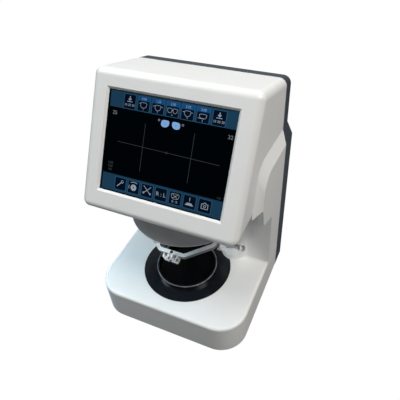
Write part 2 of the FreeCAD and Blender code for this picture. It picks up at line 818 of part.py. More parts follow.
def face_block(width, height, thickness, low, across="0", up="0"):
    """A flat box parallel to the face; low is its lower side's height above the face."""
    thing = doc.addObject("Part::Box", "block")
    thing.Placement = FreeCAD.Placement(V(), FreeCAD.Rotation(V(1, 0, 0), size("face_turn")))
    tie(thing, Length=width, Width=height, Height=thickness)
    thing.setExpression("Placement.Rotation.Angle", link("face_turn"))
    shift = f"(({up}) - ({height}) / 2)"
    return tie(thing, x=f"({across}) - ({width}) / 2",
               y=f"screen_y + {shift} * sin(face_tilt) - ({low}) * cos(face_tilt)",
               z=f"screen_z + {shift} * cos(face_tilt) + ({low}) * sin(face_tilt)")


def face_rod(radius, height, low, across, up):
    thing = doc.addObject("Part::Cylinder", "rod")
    thing.Placement = FreeCAD.Placement(V(), FreeCAD.Rotation(V(1, 0, 0), size("face_turn")))
    tie(thing, Radius=radius, Height=height)
    thing.setExpression("Placement.Rotation.Angle", link("face_turn"))
    return tie(thing, x=across,
               y=f"screen_y + ({up}) * sin(face_tilt) - ({low}) * cos(face_tilt)",
               z=f"screen_z + ({up}) * cos(face_tilt) + ({low}) * sin(face_tilt)")


def display():
    """Glass, display panel, its sheet-metal carrier and the main board, from front to back."""
    node(face_block("screen_width", "screen_height", "glass_thickness", "glass_back"), "touch_glass")
    node(face_block("panel_width", "panel_height", "panel_thickness", "panel_back"), "display_panel")
    plate = face_block("carrier_width", "panel_height", "carrier_thickness", "carrier_back")
    tabs = [face_block("carrier_margin - wall", "panel_height / 2", "-wall - carrier_back", "carrier_back",
                       f"{side}(carrier_width - carrier_margin + wall) / 2") for side in ("", "-")]
    node(fuse(plate, *tabs), "display_carrier")
    board = face_block("board_width", "board_height", "board_thickness", "board_back")
    posts = [face_rod("standoff_radius", "board_standoff", "carrier_back - board_standoff",
                      f"{side}(board_width / 2 - standoff_inset)",
                      f"{end}(board_height / 2 - standoff_inset)")
             for side in ("", "-") for end in ("", "-")]
    chips = [face_block("chip_size", "chip_size", "chip_height", "board_back - chip_height",
                        f"board_width * {share}") for share in (-0.28, 0, 0.28)]
    node(fuse(board, *posts, *chips), "main_board")


# Rear cover


def rear_cover():
    body = new_body("rear_cover")
    back = sketch_on(body, "XZ_Plane", "-body_back")
    outline(back, cover_points("0", "roof_seam_z"))
    pad(body, back, "cover_depth_low")
    trim = sketch_on(body, "YZ_Plane")
    outline(trim, [
        ("seam_low_y - cut_over", "cover_step_z"), ("seam_low_y", "cover_step_z"),
        ("seam_high_y", "shoulder_back_z"), ("seam_high_y", "roof_seam_z"), ("body_back", "roof_back_z"),
        ("body_back + cut_over", "roof_back_z"), ("body_back + cut_over", "roof_seam_z + cut_over"),
        ("seam_low_y - cut_over", "roof_seam_z + cut_over")])
    pocket(body, trim, "body_half_width * 2 + cut_over", both=True)
    fillet(body, "face_side_round", lambda box: near(box.ZMin, "roof_back_z") and near(
        box.ZMax, "roof_seam_z") and box.XLength < size("wall"))
    inside = sketch_on(body, "XZ_Plane", "-seam_low_y + cut_over")
    outline(inside, cover_points("wall", "roof_back_z - face_side_round"))
    pocket(body, inside, "cover_depth_low - cover_back_wall + cut_over")
    recess = sketch_on(body, "XZ_Plane", "-body_back")
    rectangle(recess, ("-panel_half_width", "panel_low"), ("panel_half_width", "panel_high"))
    pocket(body, recess, "panel_recess", back=True)
    openings = sketch_on(body, "XZ_Plane", "-body_back")
    for across, width, height in back_fittings():
        rectangle(openings, (f"{across} - {width} / 2", f"panel_middle_z - {height} / 2"),
                  (f"{across} + {width} / 2", f"panel_middle_z + {height} / 2"))
    for index in range(VENTS):
        low = f"fan_z + vent_pitch * {index - VENTS / 2 + 0.5} - vent_width / 2"
        rectangle(openings, ("-fan_width / 2 + wall * 2", low),
                  ("fan_width / 2 - wall * 2", f"{low} + vent_width"))
    pocket(body, openings, "cover_back_wall + cut_over", back=True)
    holes = sketch_on(body, "XZ_Plane", "-body_back")
    for x, z in cover_screws():
        circle(holes, "screw_head_radius", x, z)
    pocket(body, holes, "screw_head_height", back=True)
    return body


def cover_points(inset, top):
    """The rear cover seen from behind: wide below, stepped in to the head's width above."""
    return [
        (f"-body_half_width + {inset}", f"under_z + {inset}"),
        (f"body_half_width - {inset}", f"under_z + {inset}"),
        (f"body_half_width - {inset}", "cover_step_z"), (f"head_half_width - {inset}", "shoulder_back_z"),
        (f"head_half_width - {inset}", top), (f"-head_half_width + {inset}", top),
        (f"-head_half_width + {inset}", "shoulder_back_z"), (f"-body_half_width + {inset}", "cover_step_z")]


def back_fittings():
    """Across, width and height of each opening in the connector panel."""
    return [
        ("-inlet_offset", "inlet_width", "inlet_height"),
        ("(-inlet_offset + inlet_width / 2 + switch_width)", "switch_width", "switch_height"),
        ("port_spacing", "port_width", "port_height"),
        ("(port_spacing * 2)", "port_width", "port_height")]


def cover_screws():
    column = "(body_half_width - screw_inset)"
    spots = []
    for side in ("", "-"):
        for height in ("screw_inset * 2", "cover_step_z / 2", "cover_step_z - screw_inset"):
            spots.append((f"{side}{column}", height))
    return spots


def back_units():
    screws = [rod("screw_head_radius - running_gap", "screw_head_height", x,
                  "body_back - screw_head_height", z, along="Y") for x, z in cover_screws()]
    node(group(*screws), "cover_screws")
    fittings = back_fittings()
    inlet = fitting_shell(*fittings[0], "inlet_depth", "pin_spread")
    x = fittings[0][0]
    pins = [rod("pin_radius", "inlet_depth - wall", f"{x} + pin_spread * {share}",
                "panel_y - inlet_depth + wall", f"panel_middle_z + pin_spread * {lift}", along="Y")
            for share, lift in ((-1, -0.4), (0, 0.4), (1, -0.4))]
    node(fuse(inlet, *pins), "power_inlet")
    switch = fitting_shell(*fittings[1], "switch_depth", "wall")
    node(switch, "switch_body")
    width = "(switch_width - wall - fit_gap * 2)"
    disc = rod("rocker_radius", width, f"-{width} / 2", along="X")
    slab = block("switch_width", "rocker_thickness", "rocker_height", "0",
                 "rocker_radius - rocker_thickness / 2", "-rocker_height / 2")
    rocker = doc.addObject("Part::Common", "common")
    rocker.Base = disc
    rocker.Tool = slab
    rocker.Placement = FreeCAD.Placement(V(), FreeCAD.Rotation(V(1, 0, 0), size("-rocker_half_angle")))
    rocker.setExpression("Placement.Rotation.Angle", link("-rocker_half_angle"))
    tie(rocker, x=fittings[1][0], y="panel_y - rocker_radius", z="panel_middle_z")
    node(rocker, "power_rocker")
    ports = [fitting_shell(*fitting, "port_depth", "wall") for fitting in fittings[2:]]
    node(group(*ports), "data_ports")


def fitting_shell(across, width, height, depth, floor):
    """A socket that fills an opening of the connector panel, hollow from outside."""
    gap = "running_gap * 2"
    shell = block(f"{width} - {gap}", depth, f"{height} - {gap}", across, f"panel_y - {depth} / 2",
                  f"panel_middle_z - ({height} - {gap}) / 2")
    flange = block(f"{width} + fitting_flange", "fitting_flange_depth", f"{height} + fitting_flange", across,
                   "panel_y + fitting_flange_depth / 2", f"panel_middle_z - ({height} + fitting_flange) / 2")
    hollow = block(f"{width} - wall", depth, f"{height} - wall", across,
                   f"panel_y - {depth} / 2 + wall", f"panel_middle_z - ({height} - wall) / 2")
    return cut(fuse(shell, flange), hollow)


def fan():
    """The frame and its axle stay; the rotor turns on the axle."""
    front = "(body_back - cover_back_wall - fan_depth)"
    case = block("fan_width", "fan_depth", "fan_width", "0", f"{front} + fan_depth / 2",
                 "fan_z - fan_width / 2")
    bore = rod("fan_width / 2 - fan_wall", "fan_depth + cut_over * 2", "0", f"{front} - cut_over", "fan_z",
               along="Y")
    arm = block("fan_width - fan_wall", "fan_wall", "fan_wall * 4", "0", f"{front} + fan_wall / 2",
                "fan_z - fan_wall * 2")
    mast = block("fan_wall * 4", "fan_wall", "fan_width - fan_wall", "0", f"{front} + fan_wall / 2",
                 "fan_z - fan_width / 2 + fan_wall / 2")
    axle = rod("fan_axle_radius", "fan_depth - fan_wall * 2", "0", f"{front} + fan_wall", "fan_z", along="Y")
    node(fuse(cut(case, bore), arm, mast, axle), "fan_frame")
    start = size(f"{front} + fan_wall * 2")
    length = size("fan_depth - fan_wall * 4")
    axis = V(0, 1, 0)
    centre = V(0, start, size("fan_z"))
    hub = Part.makeCylinder(size("fan_hub_radius"), length, centre, axis)
    reach = size("fan_width / 2 - fan_wall - fan_tip_gap")
    thickness = size("fan_blade_thickness")
    rotor = hub
    for index in range(FAN_BLADES):
        blade = Part.makeBox(reach, length * 1.1, thickness)
        blade.translate(V(0, -length * 0.55, -thickness / 2))
        blade.rotate(V(), V(1, 0, 0), size("fan_blade_turn"))
        blade.rotate(V(), axis, 360 * index / FAN_BLADES)
        blade.translate(centre + axis * (length / 2))
        rotor = rotor.fuse(blade)
    bore = Part.makeCylinder(size("fan_axle_radius + running_gap"), length * 2, centre - axis * length, axis)
    slab = Part.makeBox(reach * 2, length, reach * 2, centre + V(-reach, 0, -reach))
    thing = doc.addObject("Part::Feature", "rotor")
    thing.Shape = rotor.common(slab).cut(bore)
    node(thing, "fan_rotor")


# Camera unit


def camera_hood():
    body = new_body("camera_hood")
    outer = sketch_on(body, "XY_Plane", "hood_low_z")
    circle(outer, "hood_radius", "0", "hood_y")
    pad(body, outer, "hood_depth")
    back = "hood_y + hood_side_back"
    flank = sketch_on(body, "XY_Plane", "hood_low_z")
    rectangle(flank, ("-hood_radius", "hood_y"), ("hood_radius", back))
    pad(body, flank, "hood_depth")
    behind = sketch_on(body, "XY_Plane", "hood_low_z")
    rectangle(behind, ("-hood_radius - cut_over", back),
              ("hood_radius + cut_over", "hood_y + hood_radius * 2"))
    pocket(body, behind, "hood_depth + cut_over", back=True)
    inside = sketch_on(body, "XY_Plane", "hood_low_z")
    circle(inside, "hood_radius - hood_wall", "0", "hood_y")
    pocket(body, inside, "hood_depth + cut_over", back=True)
    between = sketch_on(body, "XY_Plane", "hood_low_z")
    rectangle(between, ("-hood_radius + hood_wall", "hood_y"),
              ("hood_radius - hood_wall", f"{back} + cut_over"))
    pocket(body, between, "hood_depth + cut_over", back=True)
    return body


def camera():
    mount = block("mount_width", "mount_width", "mount_thickness", "0", "table_y", "floor_top_z")
    bore = rod("lens_radius + running_gap", "mount_thickness + cut_over * 2", "0", "table_y",
               "floor_top_z - cut_over")
    node(cut(mount, bore), "camera_mount")
    barrel = rod("lens_radius", "lens_length", "0", "table_y", "lens_tip_z")
    dish = doc.addObject("Part::Cone", "dish")
    tie(dish, Radius1="lens_tip_radius", Radius2="lens_tip_radius / 2", Height="lens_tip_depth", x="0",
        y="table_y", z="lens_tip_z")
    node(cut(barrel, dish), "camera_lens")
    node(block("camera_width", "camera_width", "camera_height", "0", "table_y",
               "floor_top_z + mount_thickness"), "camera_body")
    board = tube("ring_light_outer", "ring_light_inner", "ring_board_thickness", "0", "table_y",
                 "head_low_z - ring_board_thickness")
    node(board, "ring_light_board")
    low = "head_low_z - ring_board_thickness - diffuser_depth"
    shell = tube("ring_light_outer", "ring_light_inner", "diffuser_depth", "0", "table_y", low)
    trough = tube("ring_light_outer - diffuser_wall", "ring_light_inner + diffuser_wall", "diffuser_depth",
                  "0", "table_y", f"{low} + diffuser_wall")
    node(cut(shell, trough), "ring_light_diffuser")


# Lift drive


def lift_drive():
    rods = [rod("rod_radius", "bridge_low_z - floor_top_z", f"{side}rod_spacing", "drive_y", "floor_top_z")
            for side in ("", "-")]
    node(group(*rods), "guide_rods")
    plate = block("(rod_spacing + bridge_margin) * 2", "motor_width", "bridge_thickness", "0", "drive_y",
                  "bridge_low_z")
    hole = rod("motor_boss_radius", "bridge_thickness + cut_over * 2", "0", "drive_y",
               "bridge_low_z - cut_over")
    node(cut(plate, hole), "motor_bridge")
    case = block("motor_width", "motor_width", "motor_height", "0", "drive_y", "bridge_top_z")
    bore = rod("motor_shaft_radius + running_gap", "motor_height / 2 + cut_over", "0", "drive_y",
               "bridge_top_z - cut_over")
    node(cut(case, bore), "lift_motor")
    bearing = tube("bearing_radius", "screw_radius + running_gap", "bearing_thickness", "0", "drive_y",
                   "floor_top_z")
    node(bearing, "screw_bearing")
    stem = rod("screw_radius", "coupler_low_z + coupler_length / 2 - floor_top_z - running_gap", "0",
               "drive_y", "floor_top_z + running_gap")
    node(stem, "lead_screw")
    clamp = rod("coupler_radius", "coupler_length", "0", "drive_y", "coupler_low_z")
    seat = rod("screw_radius", "coupler_length / 2 + cut_over", "0", "drive_y", "coupler_low_z - cut_over")
    upper = rod("motor_shaft_radius", "coupler_length", "0", "drive_y", "coupler_low_z + coupler_length / 2")
    node(cut(clamp, seat, upper), "screw_coupler")
    shaft = rod("motor_shaft_radius",
                "coupler_length / 2 + coupler_gap + bridge_thickness + motor_height / 2", "0", "drive_y",
                "coupler_low_z + coupler_length / 2")
    node(shaft, "motor_shaft")


def carriage():
    """A cross beam on the guide rods with an arm outside each hanger."""
    beam = block("(hanger_outer + carriage_arm_width) * 2", "carriage_beam_depth", "carriage_thickness", "0",
                 "drive_y", "carriage_low_z")
    reach = "drive_y + carriage_beam_depth / 2 - table_y + hanger_half_width"
    arms = [block("carriage_arm_width", reach, "carriage_thickness",
                  f"{side}(hanger_outer + carriage_arm_width / 2)",
                  "(drive_y + carriage_beam_depth / 2 + table_y - hanger_half_width) / 2", "carriage_low_z")
            for side in ("", "-")]
    holes = [rod("bush_radius", "carriage_thickness + cut_over * 2", f"{side}rod_spacing", "drive_y",
                 "carriage_low_z - cut_over") for side in ("", "-")]
    middle = rod("nut_radius", "carriage_thickness + cut_over * 2", "0", "drive_y",
                 "carriage_low_z - cut_over")
    node(cut(fuse(beam, *arms), *holes, middle), "lift_carriage")
    bushes = [tube("bush_radius", "rod_radius + running_gap", "carriage_thickness", f"{side}rod_spacing",
                   "drive_y", "carriage_low_z") for side in ("", "-")]
    node(group(*bushes), "carriage_bushes")
    neck = rod("nut_radius", "carriage_thickness", "0", "drive_y", "carriage_low_z")
    flange = rod("nut_flange_radius", "nut_flange_thickness", "0", "drive_y", "carriage_top_z")
    thread = rod("screw_radius + running_gap", "carriage_thickness + nut_flange_thickness + cut_over * 2",
                 "0", "drive_y", "carriage_low_z - cut_over")
    node(cut(fuse(neck, flange), thread), "lift_nut")


def hanger(side, name):
    body = new_body(name)
    plate = sketch_on(body, "YZ_Plane", f"{side}hanger_inner")
    front = "table_y - hanger_half_width"
    outline(plate, [
        (front, "pivot_z - hanger_half_width"),
        ("table_y + hanger_half_width", "pivot_z - hanger_half_width"),
        ("table_y + hanger_half_width", "carriage_low_z - hanger_half_width"),
        ("table_y + hanger_head_back", "carriage_low_z"),
        ("table_y + hanger_head_back", "carriage_low_z + hanger_head_height"),
        ("swing_motor_y - swing_motor_width / 2", "carriage_low_z + hanger_head_height"),
        (front, "carriage_top_z + hanger_half_width")])
    pad(body, plate, "hanger_thickness", back=side == "-")
    fillet(body, "hanger_half_width - fit_gap", lambda box: near(box.ZMax, "pivot_z - hanger_half_width") and
           box.YLength < size("wall"))
    bores = sketch_on(body, "YZ_Plane", f"{side}hanger_outer")
    circle(bores, "pivot_radius + running_gap", "table_y", "pivot_z")
    if side:
        circle(bores, "swing_shaft_radius + running_gap * 2", "swing_motor_y", "swing_motor_z")
    pocket(body, bores, "hanger_thickness + cut_over", back=side == "-")
    return body


def swing_drive():
    """The motor outside the left hanger and the two pulleys with their belt inside it."""
    middle = "-hanger_outer - swing_motor_length / 2"
    case = block("swing_motor_length", "swing_motor_width", "swing_motor_width", middle, "swing_motor_y",
                 "swing_motor_z - swing_motor_width / 2")
    bore = rod("swing_shaft_radius + running_gap", "swing_motor_length / 2 + cut_over", middle,
               "swing_motor_y", "swing_motor_z", along="X")
    node(cut(case, bore), "swing_motor")
    shaft = rod("swing_shaft_radius", "hanger_outer + swing_motor_length / 2 - pulley_inner", middle,
                "swing_motor_y", "swing_motor_z", along="X")
    drum = rod("pulley_radius", "pulley_width", "-pulley_outer", "swing_motor_y", "swing_motor_z", along="X")
    node(fuse(shaft, drum), "drive_pulley")
    wheel = rod("pulley_radius", "pulley_width", "-pulley_outer", "table_y", "pivot_z", along="X")
    seat = rod("pivot_radius", "pulley_width + cut_over * 2", "-pulley_outer - cut_over", "table_y",
               "pivot_z", along="X")
    node(cut(wheel, seat), "arm_pulley")
    node(belt(), "swing_belt")


def belt():
    """A closed loop round both pulleys."""
    low = V(-size("pulley_inner + pulley_outer") / 2, size("table_y"), size("pivot_z"))
    high = V(low.x, size("swing_motor_y"), size("swing_motor_z"))
    run = (high - low).normalize()
    side = run.cross(V(1, 0, 0))

    def loop(radius):
        corners = [low + side * radius, high + side * radius, high - side * radius, low - side * radius]
        return Part.Face(Part.Wire([
            Part.LineSegment(corners[0], corners[1]).toShape(),
            Part.Arc(corners[1], high + run * radius, corners[2]).toShape(),
            Part.LineSegment(corners[2], corners[3]).toShape(),
            Part.Arc(corners[3], low - run * radius, corners[0]).toShape()]))

    inner = size("pulley_radius + fit_gap / 2")
    band = loop(inner + size("belt_thickness")).cut(loop(inner))
    width = size("belt_width")
    band.translate(V(-width / 2, 0, 0))
    thing = doc.addObject("Part::Feature", "belt")
    thing.Shape = band.extrude(V(width, 0, 0))
    return thing


# Swinging yoke


def on_yoke(thing):
    """Swing a sub-part, made flat round the pivot axis, down to the yoke's parked angle."""
    thing.Placement = FreeCAD.Placement(V(), FreeCAD.Rotation(V(1, 0, 0), size("yoke_tilt")))
    thing.setExpression("Placement.Rotation.Angle", link("yoke_tilt"))
    return tie(thing, y="table_y", z="pivot_z")


def bent_path(corners, bends):
    """Straight runs joined by tangent arcs."""
    edges = []
    start = corners[0]
    for index, bend in enumerate(bends, start=1):
        corner = corners[index]
        come = (corner - corners[index - 1]).normalize()
        leave = (corners[index + 1] - corner).normalize()
        turn = come.getAngle(leave)
        trim = bend * math.tan(turn / 2)
        first = corner - come * trim
        last = corner + leave * trim
        middle = corner + (leave - come).normalize() * (bend / math.cos(turn / 2) - bend)
        edges.append(Part.LineSegment(start, first).toShape())
        edges.append(Part.Arc(first, middle, last).toShape())
        start = last
    edges.append(Part.LineSegment(start, corners[-1]).toShape())
    return Part.Wire(edges)


def yoke():
    """A bar bent in its own plane whose two ends carry the eyes of the pivot pins."""
    end = size("boss_radius")
    elbow = size("yoke_elbow_half")
    front = size("yoke_front_half")
    reach = size("yoke_reach")
    bend = -size("yoke_elbow_reach")
    lift = size("yoke_lift")
    corners = [V(-elbow, end, lift), V(-elbow, bend, lift), V(-front, -reach, lift), V(front, -reach, lift),
               V(elbow, bend, lift), V(elbow, end, lift)]
    bends = [size(name) for name in (
        "yoke_elbow_bend", "yoke_front_bend", "yoke_front_bend", "yoke_elbow_bend")]
    half = size("yoke_thickness / 2")
    rise = size("yoke_height / 2")
    section = Part.makePolygon([
        V(-elbow - half, end, lift - rise), V(-elbow + half, end, lift - rise),
        V(-elbow + half, end, lift + rise), V(-elbow - half, end, lift + rise),
        V(-elbow - half, end, lift - rise)])
    bar = bent_path(corners, bends).makePipeShell([section], True, False)
    for side in (1, -1):
        axis = V(side, 0, 0)
        inner = V(side * size("pivot_inner"), 0, 0)
        bar = bar.fuse(Part.makeCylinder(size("boss_radius"), half * 2, inner, axis))
        bar = bar.cut(Part.makeCylinder(size("pivot_radius"), half * 2, inner, axis))
    middle = V(0, -reach, lift - rise)
    hole = Part.makeCylinder(size("chuck_screw_radius"), rise * 2, middle)
    depth = size("chuck_screw_head_height")
    seat = Part.makeCylinder(size("chuck_screw_head_radius"), depth, middle + V(0, 0, rise * 2 - depth))
    thing = doc.addObject("Part::Feature", "yoke")
    thing.Shape = bar.cut(hole).cut(seat)
    node(on_yoke(thing), "yoke")
    pins = [
        rod("pivot_radius", "hanger_outer + pin_overhang - pivot_inner", "pivot_inner", along="X"),
        rod("pivot_radius", "hanger_outer + pulley_gap - pivot_inner", "-hanger_outer - pulley_gap",
            along="X")]
    node(on_yoke(group(*pins)), "pivot_pins")
    collar = tube("collar_radius", "pivot_radius", "collar_length", "hanger_outer + collar_offset",
                  along="X")
    node(on_yoke(group(collar)), "pin_collar")


def chuck():
    """The bright holder that grips a lens block, stepped to sit under the yoke's bar, with split jaws."""
    body = new_body("block_chuck")
    profile = sketch_on(body, "YZ_Plane")
    back = "-yoke_reach + yoke_thickness / 2"
    step = "-yoke_reach - yoke_thickness / 2"
    under = "yoke_lift - yoke_height / 2"
    outline(profile, [
        ("-chuck_reach", "-chuck_half_height"), (back, "-chuck_half_height"), (back, under), (step, under),
        (step, "chuck_half_height"), ("-chuck_reach", "chuck_half_height")])
    pad(body, profile, "chuck_width", both=True)
    fillet(body, "chuck_round", lambda box: near(box.YMin, "-chuck_reach") and near(
        box.YMax, "-chuck_reach") and near(box.ZLength, "chuck_half_height * 2"))
    bore = sketch_on(body, "XZ_Plane", "chuck_reach + cut_over")
    circle(bore, "chuck_bore_radius")
    pocket(body, bore, "chuck_bore_depth + cut_over")
    upright_slots(body, ["0"], "chuck_slit", "chuck_slit_depth")
    upright_slots(body, ["-chuck_width * 0.3", "chuck_width * 0.3"], "chuck_groove_width",
                  "chuck_groove_depth")
    thread = sketch_on(body, "XY_Plane", f"{under} + cut_over")
    circle(thread, "chuck_screw_radius", "0", "-yoke_reach")
    pocket(body, thread, "chuck_screw_grip + cut_over")
    on_yoke(body)
    head = rod("chuck_screw_head_radius", "chuck_screw_head_height", "0", "-yoke_reach",
               "yoke_lift + yoke_height / 2 - chuck_screw_head_height")
    shank = rod("chuck_screw_radius", "yoke_height + chuck_screw_grip", "0", "-yoke_reach",
                f"{under} - chuck_screw_grip")
    node(on_yoke(group(fuse(head, shank))), "chuck_screw")


def upright_slots(body, places, width, depth):
    """Slots over the full height of the chuck's front."""
    slots = sketch_on(body, "XZ_Plane", "chuck_reach + cut_over")
    for across in places:
        rectangle(slots, (f"{across} - {width} / 2", "-chuck_half_height - cut_over"),
                  (f"{across} + {width} / 2", "chuck_half_height + cut_over"))
    pocket(body, slots, f"{depth} + cut_over")


# Units in the base


def base_units():
    supply = block("supply_length", "supply_depth", "supply_height", "-unit_spacing", "unit_y",
                   "plate_top_z")
    node(supply, "power_supply")
    board = block("control_width", "control_depth", "board_thickness", "unit_spacing", "unit_y",
                  "plate_top_z + control_standoff")
    posts = [rod("standoff_radius", "control_standoff",
                 f"unit_spacing + {across} * (control_width / 2 - wall * 2)",
                 f"unit_y + {back} * (control_depth / 2 - wall * 2)", "plate_top_z")
             for across in (1, -1) for back in (1, -1)]
    chips = [block("chip_size", "chip_size", "chip_height", f"unit_spacing + control_width * {share}",
                   "unit_y", "plate_top_z + control_standoff + board_thickness") for share in (-0.23, 0.23)]
    node(fuse(board, *posts, *chips), "control_board")


base_housing()
base_plate()
rubber_feet()
table_disc()
light_box()
base_units()
column_housing()
head_housing()
display()
rear_cover()
back_units()
fan()
camera_hood()
camera()
lift_drive()
carriage()
hanger("", "hanger_right")
hanger("-", "hanger_left")
swing_drive()
yoke()
chuck()


def finish():
    doc.recompute()
    for thing in doc.Objects:
        if "Invalid" in thing.State or "Error" in thing.State:
            raise RuntimeError(f"{thing.Name} ({thing.Label}) did not build: {thing.State}")
    os.makedirs("parts", exist_ok=True)
    for thing in NODES:
        shape = thing.Shape
        if shape.isNull() or not shape.isValid():
            raise RuntimeError(f"{thing.Label} has no valid shape")
        shape.exportStep(f"parts/{thing.Label}.step")
    print(len(NODES), "sub-parts")


finish()
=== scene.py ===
import json
import math

import bmesh
import bpy
from mathutils import Matrix, Vector


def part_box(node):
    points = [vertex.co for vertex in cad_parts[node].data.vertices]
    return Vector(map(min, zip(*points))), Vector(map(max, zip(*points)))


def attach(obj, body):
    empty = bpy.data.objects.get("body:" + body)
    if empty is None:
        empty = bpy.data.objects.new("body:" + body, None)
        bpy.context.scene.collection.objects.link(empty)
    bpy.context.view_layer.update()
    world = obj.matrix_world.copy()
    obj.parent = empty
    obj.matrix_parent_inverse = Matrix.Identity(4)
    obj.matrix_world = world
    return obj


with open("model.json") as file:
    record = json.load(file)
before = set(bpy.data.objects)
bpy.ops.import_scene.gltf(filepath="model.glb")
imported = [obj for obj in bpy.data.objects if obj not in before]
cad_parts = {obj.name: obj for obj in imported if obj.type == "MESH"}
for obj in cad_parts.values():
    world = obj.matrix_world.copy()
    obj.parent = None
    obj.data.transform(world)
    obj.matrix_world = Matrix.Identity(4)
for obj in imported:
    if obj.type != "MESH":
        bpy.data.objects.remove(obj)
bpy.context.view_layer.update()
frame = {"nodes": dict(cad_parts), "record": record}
nodes = frame["nodes"]
scene = bpy.context.scene
MM = 0.001


# Camera at the photograph's angle

CAMERA_PLACE = (0.21721, -0.38027, 0.57788)
CAMERA_AZIMUTH = math.radians(27.31)
CAMERA_ELEVATION = math.radians(42.46)
CAMERA_ROLL = math.radians(-4.55)
SENSOR_WIDTH = 36.0
FOCAL_PIXELS = 426.13
PICTURE_PIXELS = 400
NEAREST = 0.01
FARTHEST = 50.0


def add_camera():
    data = bpy.data.cameras.new("camera")
    data.sensor_fit = "HORIZONTAL"
    data.sensor_width = SENSOR_WIDTH
    data.lens = FOCAL_PIXELS / PICTURE_PIXELS * SENSOR_WIDTH
    data.clip_start = NEAREST
    data.clip_end = FARTHEST
    camera = bpy.data.objects.new("camera", data)
    scene.collection.objects.link(camera)
    level_share = math.cos(CAMERA_ELEVATION)
    back = Vector((math.sin(CAMERA_AZIMUTH) * level_share, -math.cos(CAMERA_AZIMUTH) * level_share,
                   math.sin(CAMERA_ELEVATION)))
    level = Vector((0, 0, 1)).cross(back).normalized()
    turn = Matrix((level, back.cross(level), back)).transposed()
    turn = turn @ Matrix.Rotation(CAMERA_ROLL, 3, "Z")
    camera.matrix_world = Matrix.Translation(CAMERA_PLACE) @ turn.to_4x4()
    scene.camera = camera


add_camera()


# Node materials

def linear(red, green, blue):
    """A colour as seen, 0 to 255, as the shader's own numbers."""
    out = []
    for value in (red, green, blue):
        value /= 255
        out.append(value / 12.92 if value <= 0.04045 else ((value + 0.055) / 1.055) ** 2.4)
    return tuple(out) + (1.0,)


def dimmed(colour, share):
    return tuple(value * share for value in colour[:3]) + (1.0,)


class Shader:
    """A Principled material that is put together node by node."""

    def __init__(self, name):
        self.material = bpy.data.materials.new(name)
        self.material.use_nodes = True
        self.tree = self.material.node_tree
        self.surface = self.tree.nodes["Principled BSDF"]
        self.place = self.tree.nodes.new("ShaderNodeTexCoord").outputs["Object"]

    def add(self, kind, **values):
        node = self.tree.nodes.new(kind)
        for key, value in values.items():
            setattr(node, key, value)
        return node

    def link(self, out, into):
        self.tree.links.new(out, into)

    def feed(self, name, out):
        """Links an output to one of the surface's inputs."""
        self.link(out, self.surface.inputs[name])

    def noise(self, scale, detail=3.0, roughness=0.55, stretch=None):
        node = self.add("ShaderNodeTexNoise")
        node.inputs["Scale"].default_value = scale
        node.inputs["Detail"].default_value = detail
        node.inputs["Roughness"].default_value = roughness
        source = self.place
        if stretch:
            mapping = self.add("ShaderNodeMapping")
            mapping.inputs["Scale"].default_value = stretch
            self.link(self.place, mapping.inputs["Vector"])
            source = mapping.outputs["Vector"]
        self.link(source, node.inputs["Vector"])
        return node.outputs["Fac"]

    def ramp(self, source, low, high, out_low=0.0, out_high=1.0):
        node = self.add("ShaderNodeMapRange")
        for key, value in (("From Min", low), ("From Max", high), ("To Min", out_low), ("To Max", out_high)):
            node.inputs[key].default_value = value
        self.link(source, node.inputs["Value"])
        return node.outputs["Result"]

    def blend(self, factor, first, second):
        node = self.add("ShaderNodeMix", data_type="RGBA")
        self.link(factor, node.inputs[0])
        for socket, value in ((node.inputs[6], first), (node.inputs[7], second)):
            if isinstance(value, tuple):
                socket.default_value = value
            else:
                self.link(value, socket)
        return node.outputs[2]

    def maths(self, operation, *sources):
        node = self.add("ShaderNodeMath", operation=operation)
        for socket, source in zip(node.inputs, sources):
            self.link(source, socket)
        return node.outputs["Value"]

    def vector(self, operation, source, other=(0.0, 0.0, 0.0), out="Vector"):
        node = self.add("ShaderNodeVectorMath", operation=operation)
        self.link(source, node.inputs[0])
        node.inputs[1].default_value = other
        return node.outputs[out]

    def height_of(self, source):
        node = self.add("ShaderNodeSeparateXYZ")
        self.link(source, node.inputs["Vector"])
        return node.outputs["Z"]

    def bump(self, height, distance, strength):
        node = self.add("ShaderNodeBump")
        node.inputs["Distance"].default_value = distance
        node.inputs["Strength"].default_value = strength
        self.link(height, node.inputs["Height"])
        self.feed("Normal", node.outputs["Normal"])

    def set(self, **values):
        for key, value in values.items():
            self.surface.inputs[key.replace("_", " ")].default_value = value


MOTTLE_SCALE = 38.0
SHEEN_SCALE = 210.0
MOULD_GRAIN = 2600.0
MOULD_DEPTH = 0.02 * MM
MARK_DEPTH = 0.01 * MM


def moulded(name, colour, shade, rough, grain=MOULD_GRAIN, depth=MOULD_DEPTH, coat=0.0):
    """Moulded plastic: a fine spark-eroded grain, faint mottling and uneven gloss."""
    shader = Shader(name)
    mottle = shader.ramp(shader.noise(MOTTLE_SCALE, detail=4.0), 0.2, 0.8)
    shader.feed("Base Color", shader.blend(mottle, colour, shade))
    sheen = shader.noise(SHEEN_SCALE, detail=5.0)
    shader.feed("Roughness", shader.ramp(sheen, 0.3, 0.7, rough * 0.88, rough * 1.12))
    shader.bump(shader.noise(grain, detail=2.0), depth, strength=0.35)
    shader.set(Coat_Weight=coat, Coat_Roughness=0.25)
    return shader.material


def metal(name, colour, shade, rough, stretch=(1.0, 1.0, 1.0), grain=900.0, share=1.0, soft=0.2):
    """Metal with tool marks drawn out along one way; where the two tones are far apart, as in chrome, the
    streaks are painted reflections.
    """
    shader = Shader(name)
    streaks = shader.noise(grain, detail=4.0, roughness=0.6, stretch=stretch)
    shader.feed("Base Color", shader.blend(shader.ramp(streaks, 0.5 - soft, 0.5 + soft), colour, shade))
    shader.feed("Roughness", shader.ramp(streaks, 0.25, 0.75, rough * 0.7, rough * 1.35))
    shader.bump(streaks, MARK_DEPTH, strength=0.4)
    shader.set(Metallic=share)
    return shader.material


DUST = (0.35, 0.36, 0.38, 1.0)


